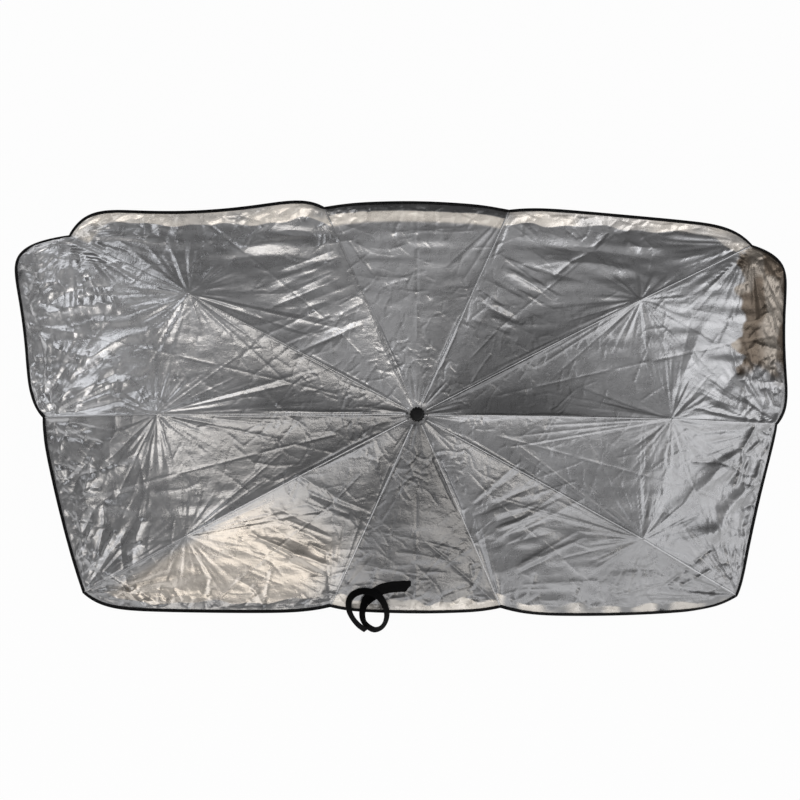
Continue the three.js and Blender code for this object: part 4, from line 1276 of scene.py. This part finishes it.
def rotation(turns):
    x, y, z = (math.radians(turn) for turn in turns)
    about_x = Matrix.Rotation(x, 3, "X")
    about_y = Matrix.Rotation(y, 3, "Y")
    about_z = Matrix.Rotation(z, 3, "Z")
    return np.array(about_x @ about_y @ about_z)


def camera():
    data = bpy.data.cameras.new("camera")
    data.sensor_width = SENSOR
    data.lens = FOCAL_PIXELS * SENSOR / FRAME_PIXELS
    data.shift_x = (FRAME_PIXELS / 2 - AIM_PIXELS[0]) / FRAME_PIXELS
    data.shift_y = (AIM_PIXELS[1] - FRAME_PIXELS / 2) / FRAME_PIXELS
    made = added("camera", data)
    view_axes = rotation(CAMERA_TURN).T
    place = to_row(view_axes @ np.array([0, 0, CAMERA_DISTANCE]))
    matrix = np.eye(4)
    matrix[:3, :3] = AXES @ view_axes
    matrix[:3, 3] = place
    made.matrix_world = Matrix(matrix)
    bpy.context.scene.camera = made


FLOOR_HALF = 7.0
FLOOR_COLOUR = (0.82, 0.82, 0.82, 1)
FLOOR_WHITE = 0.97


def floor():
    """A pale floor that the camera and gloss see as near white, with a share of its real shading."""
    paint = Paint(bpy.data.materials.new("floor"))
    made = paint.surface(Base_Color=FLOOR_COLOUR, Roughness=0.9)
    path = paint.node("LightPath").outputs
    seen = paint.node("Math", {0: path["Is Camera Ray"], 1: path["Is Glossy Ray"]}, operation="MAXIMUM")
    amount = paint.node("Math", {0: seen.outputs[0], 1: FLOOR_WHITE}, operation="MULTIPLY").outputs[0]
    glow = paint.node("Emission", {"Color": WHITE}).outputs["Emission"]
    shading = paint.nodes["Principled BSDF"].outputs["BSDF"]
    mix = paint.node("MixShader", {"Fac": amount, 1: shading, 2: glow}).outputs["Shader"]
    paint.feed(paint.nodes["Material Output"].inputs["Surface"], mix)
    corners = np.array([(-1, -1, 0), (1, -1, 0), (1, 1, 0), (-1, 1, 0)]) * FLOOR_HALF
    made_mesh("floor", corners, [[0, 1, 2, 3]], [made], smooth=False)


def lamp(name, place, size, power, colour):
    """A rectangular lamp that is turned to the crown."""
    data = bpy.data.lights.new(name, "AREA")
    data.shape = "RECTANGLE"
    data.size, data.size_y = size
    data.energy = power
    data.color = colour
    made = added(name, data)
    made.location = place
    made.rotation_euler = (Vector(CENTRE) - Vector(place)).to_track_quat("-Z", "Y").to_euler()


# The lamps: where they stand, in metres, their size, their power and their colour
LAMPS = {
    "key": ((-0.9, -2.4, 2.3), (2.2, 1.2), 16, (1.0, 0.95, 0.88)),
    "side": ((2.7, -0.5, 1.6), (1.6, 1.6), 9, (0.97, 0.98, 1.0)),
    "fill": ((-2.4, 0.9, 2.2), (1.4, 1.4), 9, (0.95, 0.97, 1.0)),
}

# The sky that the cloth reflects: its level from the dark side to the bright one, with soft patches
BRIGHT_SIDE = (0.5, -0.75, 0.0)
SKY = [
    (0.0, 1.2),
    (0.05, 0.8),
    (0.12, 0.08),
    (0.3, 0.13),
    (0.5, 0.24),
    (0.68, 0.35),
    (0.83, 0.48),
    (0.9, 1.3),
    (1.0, 1.3),
]
PATCH_SCALE = 2.6
PATCH_SPAN = (0.38, 0.62)
PATCH_RANGE = (0.55, 1.5)


def light():
    """The studio's sky, which the camera itself sees as white, and its lamps."""
    world = bpy.data.worlds.new("studio")
    paint = Paint(world)
    place = paint.node("TexCoord").outputs["Generated"]
    side = Vector(BRIGHT_SIDE).normalized()
    towards = paint.node("VectorMath", {0: place, 1: side}, operation="DOT_PRODUCT").outputs["Value"]
    ramp = paint.node("ValToRGB", {"Fac": paint.ranged(towards, -1, 1, 0, 1)})
    for _ in SKY[2:]:
        ramp.color_ramp.elements.new(0.5)
    for stop, (position, level) in zip(ramp.color_ramp.elements, SKY):
        stop.position = position
        stop.color = (level, level, level * 1.01, 1)
    patches = paint.noise(PATCH_SCALE, Vector=place, Detail=1.0)
    sky = paint.scaled(ramp.outputs["Color"], paint.ranged(patches, *PATCH_SPAN, *PATCH_RANGE))
    to_camera = paint.node("LightPath").outputs["Is Camera Ray"]
    seen = paint.node("Mix", {"Factor": to_camera, "A": sky, "B": WHITE}, data_type="RGBA")
    paint.feed(paint.nodes["Background"].inputs["Color"], seen.outputs["Result"])
    bpy.context.scene.world = world
    for name, (place, size, power, colour) in LAMPS.items():
        lamp(name, place, size, power, colour)


camera()
canopy()
tapes = [binding(arm) for arm in ARMS]
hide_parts("hem_binding")
seams()
strap()
dress_frame()
floor()
light()
bpy.context.scene.view_settings.view_transform = "Standard"
